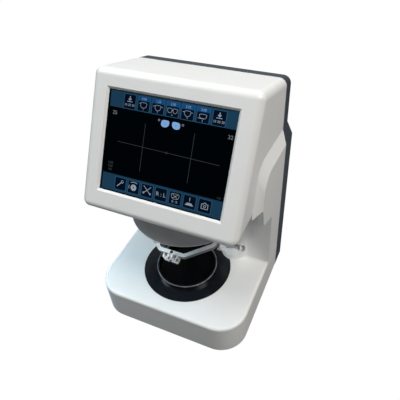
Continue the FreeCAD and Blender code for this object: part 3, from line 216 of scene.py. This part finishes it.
def polished(name, colour, shade, rough, dust=0.12, gloss=0.5):
    """Polished black plastic with hair scratches and a little dust."""
    shader = Shader(name)
    specks = shader.noise(1500.0, detail=2.0)
    cloud = shader.noise(26.0, detail=4.0)
    base = shader.blend(shader.ramp(cloud, 0.35, 0.7), colour, shade)
    shader.feed("Base Color", shader.blend(shader.ramp(specks, 0.66, 0.8, 0.0, dust), base, DUST))
    hairs = shader.noise(70.0, detail=6.0, roughness=0.75, stretch=(1.0, 14.0, 1.0))
    shader.feed("Roughness", shader.ramp(hairs, 0.35, 0.7, rough * 0.7, rough * 1.7))
    shader.bump(hairs, MARK_DEPTH, strength=0.15)
    shader.set(Specular_IOR_Level=gloss)
    return shader.material


def glowing(name, colour, strength=1.0):
    """Lit picture elements with a faintly uneven backlight."""
    shader = Shader(name)
    cloud = shader.ramp(shader.noise(22.0, detail=2.0), 0.3, 0.7)
    shader.feed("Emission Color", shader.blend(cloud, colour, dimmed(colour, 0.82)))
    shader.set(Base_Color=(0.0, 0.0, 0.0, 1.0), Emission_Strength=strength, Roughness=0.6,
               Specular_IOR_Level=0.0)
    return shader.material


def clear_glass(name):
    shader = Shader(name)
    smears = shader.noise(60.0, detail=5.0, roughness=0.7)
    shader.feed("Roughness", shader.ramp(smears, 0.4, 0.75, 0.0, 0.012))
    shader.set(Base_Color=(0.97, 0.985, 1.0, 1.0), Transmission_Weight=1.0, IOR=1.0)
    return shader.material


def circuit(name, colour):
    """A circuit board: solder resist with tracks and pads."""
    shader = Shader(name)
    bricks = shader.add("ShaderNodeTexBrick")
    bricks.inputs["Scale"].default_value = 190.0
    bricks.inputs["Mortar Size"].default_value = 0.03
    shader.link(shader.place, bricks.inputs["Vector"])
    shader.feed("Base Color", shader.blend(bricks.outputs["Fac"], dimmed(colour, 0.55), colour))
    shader.bump(bricks.outputs["Fac"], 0.03 * MM, strength=0.5)
    shader.set(Roughness=0.35)
    return shader.material


YOKE_TILT = math.radians(18.8)


def sawn_bar():
    """The yoke's bar: pale faces above and below, and sides darkened with painted shade."""
    shader = Shader("satin_steel")
    normal = shader.add("ShaderNodeTexCoord").outputs["Normal"]
    flat_way = (0.0, -math.sin(YOKE_TILT), math.cos(YOKE_TILT))
    flatness = shader.maths("ABSOLUTE", shader.vector("DOT_PRODUCT", normal, flat_way, out="Value"))
    faces_up_and_down = shader.ramp(flatness, 0.5, 0.8)
    streaks = shader.noise(500.0, detail=4.0, roughness=0.6, stretch=(0.2, 3.0, 3.0))
    # Painted shade: the sides take a near-black copy of the bar's colour and the faces above and below a
    # near-white copy, chosen by which way each face points.
    painted_shade_sides = shader.blend(streaks, (0.09, 0.10, 0.11, 1.0), (0.17, 0.18, 0.19, 1.0))
    bright = shader.blend(streaks, (0.90, 0.95, 0.98, 1.0), (0.97, 1.0, 1.0, 1.0))
    shader.feed("Base Color", shader.blend(faces_up_and_down, painted_shade_sides, bright))
    shader.feed("Roughness", shader.ramp(streaks, 0.25, 0.75, 0.3, 0.48))
    shader.bump(streaks, MARK_DEPTH, strength=0.4)
    shader.set(Metallic=0.05)
    return shader.material


RIM_WIDTH = 1.0 * MM
RIM_WIDTH_FADE = 0.3 * MM
RIM_DEPTH = 0.9 * MM
RIM_DEPTH_FADE = 0.4 * MM


def ring_rim():
    """The support ring: dark wall and a painted highlight as a pale line round the outer edge of its top."""
    shader = Shader("ring_rim")
    low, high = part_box("support_ring")
    outer = (high.x - low.x) / 2
    middle = ((low.x + high.x) / 2, high.y - outer, high.z)
    from_middle = shader.vector("SUBTRACT", shader.place, middle)
    level = shader.vector("MULTIPLY", from_middle, (1.0, 1.0, 0.0))
    reach = shader.vector("LENGTH", level, out="Value")
    # Painted highlight: a thin band round the outer edge of the top is painted pale; the noise only varies
    # the tone.
    edge = shader.ramp(reach, outer - RIM_WIDTH, outer - RIM_WIDTH + RIM_WIDTH_FADE)
    top = shader.ramp(shader.height_of(from_middle), -RIM_DEPTH, -RIM_DEPTH + RIM_DEPTH_FADE)
    uneven_tone = shader.ramp(shader.noise(120.0, detail=4.0), 0.35, 0.65)
    dark = shader.blend(uneven_tone, linear(9, 11, 14), linear(16, 19, 23))
    painted_highlight = shader.blend(uneven_tone, linear(116, 122, 126), linear(168, 172, 174))
    shader.feed("Base Color", shader.blend(shader.maths("MULTIPLY", edge, top), dark, painted_highlight))
    shader.feed("Roughness", shader.ramp(shader.noise(300.0, detail=4.0), 0.3, 0.7, 0.16, 0.28))
    shader.bump(shader.noise(1800.0, detail=2.0), MOULD_DEPTH, strength=0.2)
    return shader.material


HOOD_EDGE = 1.1 * MM
HOOD_EDGE_FADE = 0.6 * MM


def hood_skin():
    """The hood's grey skin, with a painted highlight as a paler band along its lower edge."""
    shader = Shader("hood_plastic")
    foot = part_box("camera_hood")[0].z
    mottle = shader.ramp(shader.noise(MOTTLE_SCALE, detail=4.0), 0.35, 0.65)
    skin = shader.blend(mottle, linear(168, 169, 170), linear(160, 161, 163))
    # Painted highlight: the band just above the hood's foot is painted paler than the skin.
    edge = shader.ramp(shader.height_of(shader.place), foot + HOOD_EDGE, foot + HOOD_EDGE + HOOD_EDGE_FADE,
                       1.0, 0.0)
    shader.feed("Base Color", shader.blend(edge, skin, linear(214, 215, 216)))
    shader.feed("Roughness", shader.ramp(shader.noise(SHEEN_SCALE, detail=5.0), 0.3, 0.7, 0.37, 0.47))
    shader.bump(shader.noise(MOULD_GRAIN, detail=2.0), MOULD_DEPTH, strength=0.35)
    return shader.material


COARSE_GRAIN = 1900.0
COARSE_DEPTH = 0.04 * MM

FINISH = {
    "shell_light": moulded("shell_plastic", linear(236, 235, 233), linear(232, 232, 230), 0.36, coat=0.12),
    "cover_slate": moulded("slate_plastic", linear(42, 52, 61), linear(36, 45, 54), 0.5, COARSE_GRAIN,
                           COARSE_DEPTH),
    "hood_grey": hood_skin(),
    "table_black": polished("table_gloss", linear(9, 14, 20), linear(14, 20, 27), 0.16),
    "ring_black": ring_rim(),
    "window_dark": polished("window_gloss", linear(2, 3, 4), linear(4, 5, 7), 0.1, dust=0.06, gloss=0.2),
    "screen_glass": clear_glass("screen_glass"),
    "panel_black": polished("panel_gloss", linear(6, 8, 12), linear(9, 11, 15), 0.2, dust=0.0),
    "board_green": circuit("board_green", linear(20, 92, 58)),
    "board_white": circuit("board_white", linear(222, 224, 224)),
    "diffuser_milky": moulded("milky_plastic", linear(236, 238, 238), linear(228, 231, 232), 0.4),
    "sheet_steel": metal("plated_sheet", (0.60, 0.61, 0.62, 1.0), (0.50, 0.51, 0.53, 1.0), 0.36,
                         (12.0, 1.0, 1.0), 400.0),
    "bright_steel": metal("ground_steel", (0.62, 0.63, 0.65, 1.0), (0.50, 0.51, 0.53, 1.0), 0.28,
                          (1.0, 1.0, 16.0)),
    "alloy": metal("machined_alloy", (0.74, 0.75, 0.77, 1.0), (0.64, 0.65, 0.67, 1.0), 0.32,
                   (1.0, 12.0, 1.0), 500.0),
    "yoke_steel": sawn_bar(),
    # Painted reflection: near-white and near-black upright streaks, with little metallic share, stand in for
    # what the chrome mirrors.
    "chrome": metal("chrome", (0.99, 0.99, 0.99, 1.0), (0.16, 0.17, 0.18, 1.0), 0.12, (1.0, 0.3, 0.2), 300.0,
                    share=0.1, soft=0.06),
    "bronze": metal("bearing_bronze", (0.62, 0.45, 0.22, 1.0), (0.50, 0.35, 0.16, 1.0), 0.35),
    "motor_black": moulded("motor_enamel", linear(34, 34, 37), linear(42, 42, 45), 0.42, grain=1200.0),
    "lens_black": polished("lens_gloss", linear(12, 13, 16), linear(20, 21, 26), 0.12, dust=0.0),
    "fitting_black": moulded("black_plastic", linear(26, 27, 29), linear(33, 34, 36), 0.55, COARSE_GRAIN,
                             COARSE_DEPTH),
    "rubber": moulded("rubber", linear(22, 22, 22), linear(30, 30, 30), 0.75, grain=1500.0, depth=0.06 * MM),
}

for entry in frame["record"]["subparts"]:
    target = nodes[entry["node"]]
    target.data.materials.clear()
    target.data.materials.append(FINISH[entry["material_slot"]])


# Pieces made here

def add_piece(name, mesh, material, body):
    piece = bpy.data.objects.new(name, mesh)
    scene.collection.objects.link(piece)
    mesh.materials.append(material)
    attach(piece, body)


# Screen picture between glass and display, drawn on a sheet with x to the right and y down

SHEET_WIDTH = 1300
SHEET_HEIGHT = 976
PICTURE_WIDTH = 162.6
PICTURE_HEIGHT = 122.0
BELOW_GLASS_MIDDLE = 0.9
TILT = math.radians(30.6)
OUT = Vector((0, -math.cos(TILT), math.sin(TILT)))
UP = Vector((0, math.sin(TILT), math.cos(TILT)))
glass_low, glass_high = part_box("touch_glass")
SHEET_MIDDLE = (glass_low + glass_high) / 2 - OUT * (BELOW_GLASS_MIDDLE * MM)

LETTER_SHARE = 1.4
LAYER = 0.04
LOWEST_LIFT = 0.02
VIEW_LIFT = 0.045
VIEW_LAYER = 0.01
SECOND_LIFT = 0.07
THIRD_LIFT = 0.12
BUTTON_LIFT = 0.17
HEAD_LIFT = 0.22
ICON_LIFT = 0.27
TOP_LIFT = 0.33


def on_screen(u, v, lift=0.0):
    """The point u mm right of the sheet's middle, v mm up it and lift mm in front of it."""
    return SHEET_MIDDLE + Vector((u * MM, 0, 0)) + UP * (v * MM) + OUT * (lift * MM)


def spot(x, y):
    """A place on the sheet as millimetres from its middle."""
    across = (x - SHEET_WIDTH / 2) * PICTURE_WIDTH / SHEET_WIDTH
    return across, (SHEET_HEIGHT / 2 - y) * PICTURE_HEIGHT / SHEET_HEIGHT


def around(steps):
    """Cosine and sine for each step round a circle."""
    angles = [2 * math.pi * step / steps for step in range(steps)]
    return [(math.cos(angle), math.sin(angle)) for angle in angles]


def squared(value, power):
    """Cosine or sine of a circle that bulges towards its corners."""
    return math.copysign(abs(value) ** (2 / power), value)


class Sheet:
    """Flat shapes at one level of the picture, gathered into one mesh."""

    def __init__(self, name, material, lift, thick=LAYER):
        self.name = name
        self.material = material
        self.lift = lift
        self.thick = thick
        self.bm = bmesh.new()

    def area(self, points):
        rings = []
        for lift in (self.lift, self.lift + self.thick):
            rings.append([self.bm.verts.new(on_screen(u, v, lift)) for u, v in points])
        low, high = rings
        count = len(points)
        self.bm.faces.new(high)
        self.bm.faces.new(low[::-1])
        for i in range(count):
            j = (i + 1) % count
            self.bm.faces.new((low[i], low[j], high[j], high[i]))

    def tile(self, x0, y0, x1, y1, corner):
        """A rectangle with round corners."""
        points = []
        for cx, cy, start in ((x1 - corner, y0 + corner, 0), (x0 + corner, y0 + corner, 90),
                              (x0 + corner, y1 - corner, 180), (x1 - corner, y1 - corner, 270)):
            for step in range(4):
                angle = math.radians(start + 30 * step)
                points.append(spot(cx + corner * math.cos(angle), cy - corner * math.sin(angle)))
        self.area(points)

    def disc(self, x, y, radius):
        self.area([spot(x + radius * c, y - radius * s) for c, s in around(28)])

    def lens(self, x, y, rx, ry, lean, brow=3.6, cheek=2.1):
        """A spectacle lens: flat along its brow, full below."""
        points = []
        for c, s in around(28):
            power = brow if s > 0 else cheek
            points.append(spot(x + rx * squared(c, power) + lean * s, y - ry * squared(s, power)))
        self.area(points)

    def line(self, points, width, closed=False):
        """A stroke of one width, a little longer than its points at both ends of each run."""
        count = len(points)
        runs = count if closed else count - 1
        for i in range(runs):
            a = Vector(points[i])
            b = Vector(points[(i + 1) % count])
            along = (b - a).normalized() * width / 2
            side = Vector((-along.y, along.x))
            a -= along * 0.6
            b += along * 0.6
            self.area([spot(*(a + side)), spot(*(a - side)), spot(*(b - side)), spot(*(b + side))])

    def ring(self, x, y, radius, width):
        self.line([(x + radius * c, y + radius * s) for c, s in around(20)], width, closed=True)

    def strokes(self, drawing, x, y):
        """Several strokes, each a width and its points about x, y."""
        for width, points in drawing:
            self.line([(x + across, y + down) for across, down in points], width)

    def words(self, text, x, y, height):
        """Plain figures centred on one place."""
        curve = bpy.data.curves.new("figures", "FONT")
        curve.body = text
        curve.size = height * PICTURE_HEIGHT / SHEET_HEIGHT * LETTER_SHARE
        curve.align_x = "CENTER"
        curve.align_y = "CENTER"
        curve.resolution_u = 3
        maker = bpy.data.objects.new("figures", curve)
        shape = bpy.data.meshes.new_from_object(maker)
        u, v = spot(x, y)
        for vertex in shape.vertices:
            vertex.co = on_screen(u + vertex.co.x, v + vertex.co.y, self.lift + self.thick)
        self.bm.from_mesh(shape)
        bpy.data.objects.remove(maker)
        bpy.data.curves.remove(curve)
        bpy.data.meshes.remove(shape)

    def finish(self):
        bmesh.ops.recalc_face_normals(self.bm, faces=self.bm.faces)
        mesh = bpy.data.meshes.new(self.name)
        self.bm.to_mesh(mesh)
        self.bm.free()
        add_piece(self.name, mesh, self.material, body="root")


# Places and sizes on the sheet

FIELD = (2, 2, 1298, 974)
BARS = ((12, 8, 1294, 160), (12, 803, 1294, 968))
BAR_CORNER = 4
COLUMNS = (225, 375, 525, 675, 825, 975, 1128)
EDGE_ROWS = ((20, 158), (820, 950))
EDGE_HALF_WIDTH = 66
EDGE_CORNER = 8
BUTTON_ROWS = ((24, 154), (825, 945))
BUTTON_HALF_WIDTH = 60
BUTTON_CORNER = 6
HEAD_ROW = (24, 62)
HEAD_CORNER = 5
HEAD_FIGURE_Y = 43
UPPER_ICON_Y = 100
UNDER_FIGURE_Y = 138
LOWER_ICON_Y = 888
SMALL_FIGURES = 22
LARGE_FIGURES = 36
FRAME_STROKE = 3.2
LENS_FRAME_SHARES = ((-1, -0.7), (-0.6, -1), (0.7, -1), (1, -0.5), (0.8, 0.6), (0.3, 1),
                     (-0.4, 1), (-0.9, 0.4))
LENS_PAIR = ((618, 5), (730, -5))
LENS_PAIR_Y = 226
LENS_PAIR_SIZE = (41, 33)
LENS_PAIR_DOT = 5
CROSS_STROKE = 3
CROSS_CENTRE = (672, 485)
READINGS_PLACE = (88, 697)
READINGS_STEP = 34
FACTOR_PLACE = (1246, 780)
FACTOR_FIGURES = 18
LEFT_NUMBER_PLACE = (76, 213)
RIGHT_NUMBER_PLACE = (1258, 232)
SIDE_RINGS = ((553, 203), (797, 208))
SMALL_RING = 8
THIN_STROKE = 4
RING_STROKE = 5
CROSS_LINES = (((140, 478), (660, 485)), ((684, 485), (1200, 492)), ((418, 260), (418, 716)),
               ((922, 260), (922, 716)))

DIAL_RADIUS = 31
DIAL_HOLE = 9
HANDLE_ACROSS = 36
HANDLE_DOWN = 20
LENS_RING = 11
CASE_STROKE = 6
SIDES_FIGURES = 40
COUNT_FIGURES = 24
INDEX_FIGURES = 17
ONE_LENS = (34, 24)
HUNG_LENS = (30, 24)
TWIN_LENS = (23, 20)
TWIN_HALF_GAP = 27
LEVEL_LENS = (32, 24)
LOW_LENS = (36, 20)
CROSSED_LENS = (42, 26)

# Strokes of each icon about its middle, each a width and its points

ARROW_DOWN = ((9, ((0, -58), (0, -28))), (8, ((-13, -38), (0, -24), (13, -38))),
              (6, ((-26, -12), (26, -12))))
ONE_TEMPLE = ((4, ((-44, -16), (-34, -12))),)
TWO_TEMPLES = ((4, ((-36, -18), (-46, -8))), (4, ((36, -18), (46, -8))))
NOSE_BRIDGE = ((4, ((-5, -4), (5, -4))),)
LEVEL_TEMPLES = ((4, ((-48, -12), (-34, -12))), (4, ((34, -12), (48, -12))))
BASE_LINE = ((4, ((-46, 18), (10, 18))),)
WRENCH = ((8, ((-34, 24), (8, -16))), (6, ((8, -16), (10, -34), (24, -42))),
          (6, ((8, -16), (26, -16), (34, -30))))
DIAL_MARKS = ((5, ((-48, -16), (-52, 0), (-48, 16))), (6, ((-34, -46), (-12, -52), (12, -52), (34, -46))))
CROSSED_TOOLS = ((6, ((-38, -46), (36, 24))), (6, ((38, -46), (-36, 24))))
CROSSED_OUT = ((4, ((-28, -40), (28, 0))), (4, ((28, -40), (-28, 0))))
PLUMB_LINE = ((6, ((0, -46), (0, -14))),)
STAND = ((-44, 30), (44, 30), (20, 4), (-20, 4))
CAMERA_CASE = ((-32, -20), (-14, -20), (-8, -32), (8, -32), (14, -20), (32, -20), (32, 24), (-32, 24))
YOKE_SEEN = ((30, ((775, 592), (900, 568), (930, 586), (1010, 640), (1030, 660))),
             (20, ((1030, 650), (1010, 712), (996, 775))))


def lit_sheet(name, tint, colour, lift, strength=1.0, thick=LAYER):
    return Sheet("screen_" + name, glowing("lit_" + tint, linear(*colour), strength), lift, thick)


def lens_frame(sheet, x, y, rx, ry):
    points = [(x + across * rx, y + down * ry) for across, down in LENS_FRAME_SHARES]
    sheet.line(points, FRAME_STROKE, closed=True)


def draw_ground():
    field = lit_sheet("field", "field", (1, 4, 7), LOWEST_LIFT)
    field.tile(*FIELD, BAR_CORNER)
    field.finish()
    bars = lit_sheet("bars", "bars", (28, 60, 84), SECOND_LIFT)
    for bar in BARS:
        bars.tile(*bar, BAR_CORNER)
    bars.finish()


def draw_buttons():
    edges = lit_sheet("button_edges", "edges", (44, 84, 110), THIRD_LIFT)
    buttons = lit_sheet("buttons", "buttons", (4, 16, 34), BUTTON_LIFT)
    heads = lit_sheet("button_heads", "heads", (14, 72, 128), HEAD_LIFT)
    for x in COLUMNS:
        for top, bottom in EDGE_ROWS:
            edges.tile(x - EDGE_HALF_WIDTH, top, x + EDGE_HALF_WIDTH, bottom, EDGE_CORNER)
        for top, bottom in BUTTON_ROWS:
            buttons.tile(x - BUTTON_HALF_WIDTH, top, x + BUTTON_HALF_WIDTH, bottom, BUTTON_CORNER)
    for x in COLUMNS[1:6]:
        heads.tile(x - BUTTON_HALF_WIDTH, HEAD_ROW[0], x + BUTTON_HALF_WIDTH, HEAD_ROW[1], HEAD_CORNER)
    for sheet in (edges, buttons, heads):
        sheet.finish()


def draw_upper_icons(icons):
    y = UPPER_ICON_Y
    for x in (COLUMNS[0], COLUMNS[6]):
        icons.strokes(ARROW_DOWN, x, y)
        icons.words("10 20 30", x, y + 20, SMALL_FIGURES)
    for index, text in enumerate(("0.00", "1.25", "2.50", "3.75", "5.00"), start=1):
        icons.words(text, COLUMNS[index], HEAD_FIGURE_Y, SMALL_FIGURES)
        icons.words(str(index), COLUMNS[index], UNDER_FIGURE_Y, INDEX_FIGURES)
    lens_frame(icons, COLUMNS[1], y, *ONE_LENS)
    icons.strokes(ONE_TEMPLE, COLUMNS[1], y)
    lens_frame(icons, COLUMNS[2], y, *HUNG_LENS)
    icons.strokes(TWO_TEMPLES, COLUMNS[2], y)
    for side in (-1, 1):
        lens_frame(icons, COLUMNS[3] + side * TWIN_HALF_GAP, y, *TWIN_LENS)
    icons.strokes(NOSE_BRIDGE, COLUMNS[3], y)
    lens_frame(icons, COLUMNS[4], y, *LEVEL_LENS)
    icons.strokes(LEVEL_TEMPLES, COLUMNS[4], y)
    lens_frame(icons, COLUMNS[5], y, *LOW_LENS)
    icons.strokes(BASE_LINE, COLUMNS[5], y)


def draw_lower_icons(icons):
    wrench_x, dial_x, tools_x, sides_x, crossed_x, stand_x, camera_x = COLUMNS
    y = LOWER_ICON_Y
    icons.strokes(WRENCH, wrench_x, y)
    icons.disc(dial_x, y, DIAL_RADIUS)
    icons.strokes(DIAL_MARKS, dial_x, y)
    icons.strokes(CROSSED_TOOLS, tools_x, y)
    for side in (-1, 1):
        icons.ring(tools_x + side * HANDLE_ACROSS, y + HANDLE_DOWN, SMALL_RING, THIN_STROKE)
    icons.words("R : L", sides_x, y - 2, SIDES_FIGURES)
    lens_frame(icons, crossed_x, y - 20, *CROSSED_LENS)
    icons.strokes(CROSSED_OUT, crossed_x, y)
    icons.words("0 : 0", crossed_x, y + 32, COUNT_FIGURES)
    icons.strokes(PLUMB_LINE, stand_x, y)
    icons.area([spot(stand_x + across, y + down) for across, down in STAND])
    icons.line([(camera_x + across, y + down) for across, down in CAMERA_CASE], CASE_STROKE,
               closed=True)
    icons.ring(camera_x, y + 1, LENS_RING, RING_STROKE)


def draw_icons():
    icons = lit_sheet("icons", "icons", (146, 160, 172), ICON_LIFT)
    draw_upper_icons(icons)
    draw_lower_icons(icons)
    icons.finish()
    holes = lit_sheet("dial_hole", "dial", (60, 96, 118), TOP_LIFT, strength=0.9)
    holes.disc(COLUMNS[1], LOWER_ICON_Y, DIAL_HOLE)
    for place in LENS_PAIR:
        holes.disc(place[0], LENS_PAIR_Y, LENS_PAIR_DOT)
    holes.finish()


def draw_field():
    """Crossed lines, the pair of lenses, the figures beside them and the dim camera view."""
    lines = lit_sheet("lines", "lines", (66, 70, 72), SECOND_LIFT)
    for points in CROSS_LINES:
        lines.line(points, CROSS_STROKE)
    lines.ring(*CROSS_CENTRE, SMALL_RING, THIN_STROKE)
    x, y = READINGS_PLACE
    for row, text in enumerate(("0.00", "0.00", "0.0")):
        lines.words(text, x, y + READINGS_STEP * row, SMALL_FIGURES)
    lines.words("1.00", *FACTOR_PLACE, FACTOR_FIGURES)
    lines.finish()

    lenses = lit_sheet("lenses", "lenses", (132, 172, 222), SECOND_LIFT)
    for x, lean in LENS_PAIR:
        lenses.lens(x, LENS_PAIR_Y, *LENS_PAIR_SIZE, lean)
    lenses.finish()

    figures = lit_sheet("figures", "figures", (124, 132, 138), THIRD_LIFT)
    figures.words("25", *LEFT_NUMBER_PLACE, LARGE_FIGURES)
    figures.words("32", *RIGHT_NUMBER_PLACE, LARGE_FIGURES)
    for place in SIDE_RINGS:
        figures.ring(*place, SMALL_RING, RING_STROKE)
    figures.finish()

    view = lit_sheet("camera_view", "view", (34, 38, 42), VIEW_LIFT, thick=VIEW_LAYER)
    view.strokes(YOKE_SEEN, 0, 0)
    view.finish()


draw_ground()
draw_buttons()
draw_icons()
draw_field()


# Floor, light and background

SOFT_COLOUR = (0.93, 0.97, 1.0, 1.0)
SOFT_STRENGTH = 0.22
MIRRORED_WHITE = 0.35
WHITE = (1.0, 1.0, 1.0, 1.0)
WHITE_STRENGTH = 1.0
FLOOR_REACH = 12.0
FLOOR_GREY = (0.16, 0.16, 0.16, 1.0)
FLOOR_GLOW = 1.1
FLOOR_GLOW_SHARE = 0.9


def white_behind():
    """World: soft and dim for lighting, plain white where it is seen, partly white in mirrors."""
    world = bpy.data.worlds.new("world")
    scene.world = world
    world.use_nodes = True
    tree = world.node_tree
    tree.nodes.clear()
    seen = tree.nodes.new("ShaderNodeLightPath")
    most = tree.nodes.new("ShaderNodeMath")
    most.operation = "MAXIMUM"
    tree.links.new(seen.outputs["Is Camera Ray"], most.inputs[0])
    tree.links.new(seen.outputs["Is Transmission Ray"], most.inputs[1])
    soft = tree.nodes.new("ShaderNodeBackground")
    soft.inputs["Color"].default_value = SOFT_COLOUR
    soft.inputs["Strength"].default_value = SOFT_STRENGTH
    white = tree.nodes.new("ShaderNodeBackground")
    white.inputs["Color"].default_value = WHITE
    white.inputs["Strength"].default_value = WHITE_STRENGTH
    mirrored = tree.nodes.new("ShaderNodeMath")
    mirrored.operation = "MULTIPLY_ADD"
    mirrored.inputs[1].default_value = MIRRORED_WHITE
    tree.links.new(seen.outputs["Is Glossy Ray"], mirrored.inputs[0])
    tree.links.new(most.outputs["Value"], mirrored.inputs[2])
    mix = tree.nodes.new("ShaderNodeMixShader")
    tree.links.new(mirrored.outputs["Value"], mix.inputs[0])
    tree.links.new(soft.outputs["Background"], mix.inputs[1])
    tree.links.new(white.outputs["Background"], mix.inputs[2])
    out = tree.nodes.new("ShaderNodeOutputWorld")
    tree.links.new(mix.outputs["Shader"], out.inputs["Surface"])


def add_floor():
    """A grey floor for the light, which is seen as white."""
    mesh = bpy.data.meshes.new("floor")
    corners = [(x * FLOOR_REACH, y * FLOOR_REACH, 0) for x, y in ((-1, -1), (1, -1), (1, 1), (-1, 1))]
    mesh.from_pydata(corners, [], [(0, 1, 2, 3)])
    floor = bpy.data.objects.new("floor", mesh)
    scene.collection.objects.link(floor)
    material = bpy.data.materials.new("floor")
    material.use_nodes = True
    tree = material.node_tree
    tree.nodes.clear()
    seen = tree.nodes.new("ShaderNodeLightPath")
    share = tree.nodes.new("ShaderNodeMath")
    share.operation = "MULTIPLY"
    share.inputs[1].default_value = FLOOR_GLOW_SHARE
    tree.links.new(seen.outputs["Is Camera Ray"], share.inputs[0])
    matt = tree.nodes.new("ShaderNodeBsdfDiffuse")
    matt.inputs["Color"].default_value = FLOOR_GREY
    white = tree.nodes.new("ShaderNodeEmission")
    white.inputs["Strength"].default_value = FLOOR_GLOW
    mix = tree.nodes.new("ShaderNodeMixShader")
    tree.links.new(share.outputs["Value"], mix.inputs[0])
    tree.links.new(matt.outputs["BSDF"], mix.inputs[1])
    tree.links.new(white.outputs["Emission"], mix.inputs[2])
    out = tree.nodes.new("ShaderNodeOutputMaterial")
    tree.links.new(mix.outputs["Shader"], out.inputs["Surface"])
    mesh.materials.append(material)


def add_lamp(name, place, aim, size, power, colour, spread=180, mirrored=True):
    """A square lamp in watts, whose beam spreads by so many degrees."""
    data = bpy.data.lights.new(name, "AREA")
    data.shape = "SQUARE"
    data.size = size
    data.energy = power
    data.spread = math.radians(spread)
    data.color = colour
    lamp = bpy.data.objects.new(name, data)
    scene.collection.objects.link(lamp)
    lamp.location = place
    lamp.visible_glossy = mirrored
    lamp.rotation_euler = (Vector(aim) - Vector(place)).to_track_quat("-Z", "Y").to_euler()


OBJECT_MIDDLE = (0, 0, 0.15)
BASE_LEFT = (-0.12, -0.08, 0.06)
CHUCK_FRONT = (-0.01, -0.06, 0.122)

white_behind()
add_floor()
add_lamp("top", (0.0, 1.2, 2.05), OBJECT_MIDDLE, size=1.1, power=11.0, colour=(1.0, 0.99, 0.98))
add_lamp("left", (-1.35, -0.28, 1.95), OBJECT_MIDDLE, size=0.9, power=25.0, colour=(0.87, 0.95, 1.0))
add_lamp("right", (1.2, -0.24, 2.05), OBJECT_MIDDLE, size=0.9, power=32.5, colour=(1.0, 0.97, 0.93))
add_lamp("low_left", (-0.45, 0.0, 0.2), BASE_LEFT, size=0.12, power=0.085, colour=(0.3, 0.72, 1.0),
         spread=44, mirrored=False)
add_lamp("yoke", (-0.26, -0.52, 0.32), CHUCK_FRONT, size=0.03, power=0.0075, colour=(0.9, 0.96, 1.0),
         spread=8)

scene.view_settings.view_transform = "Standard"
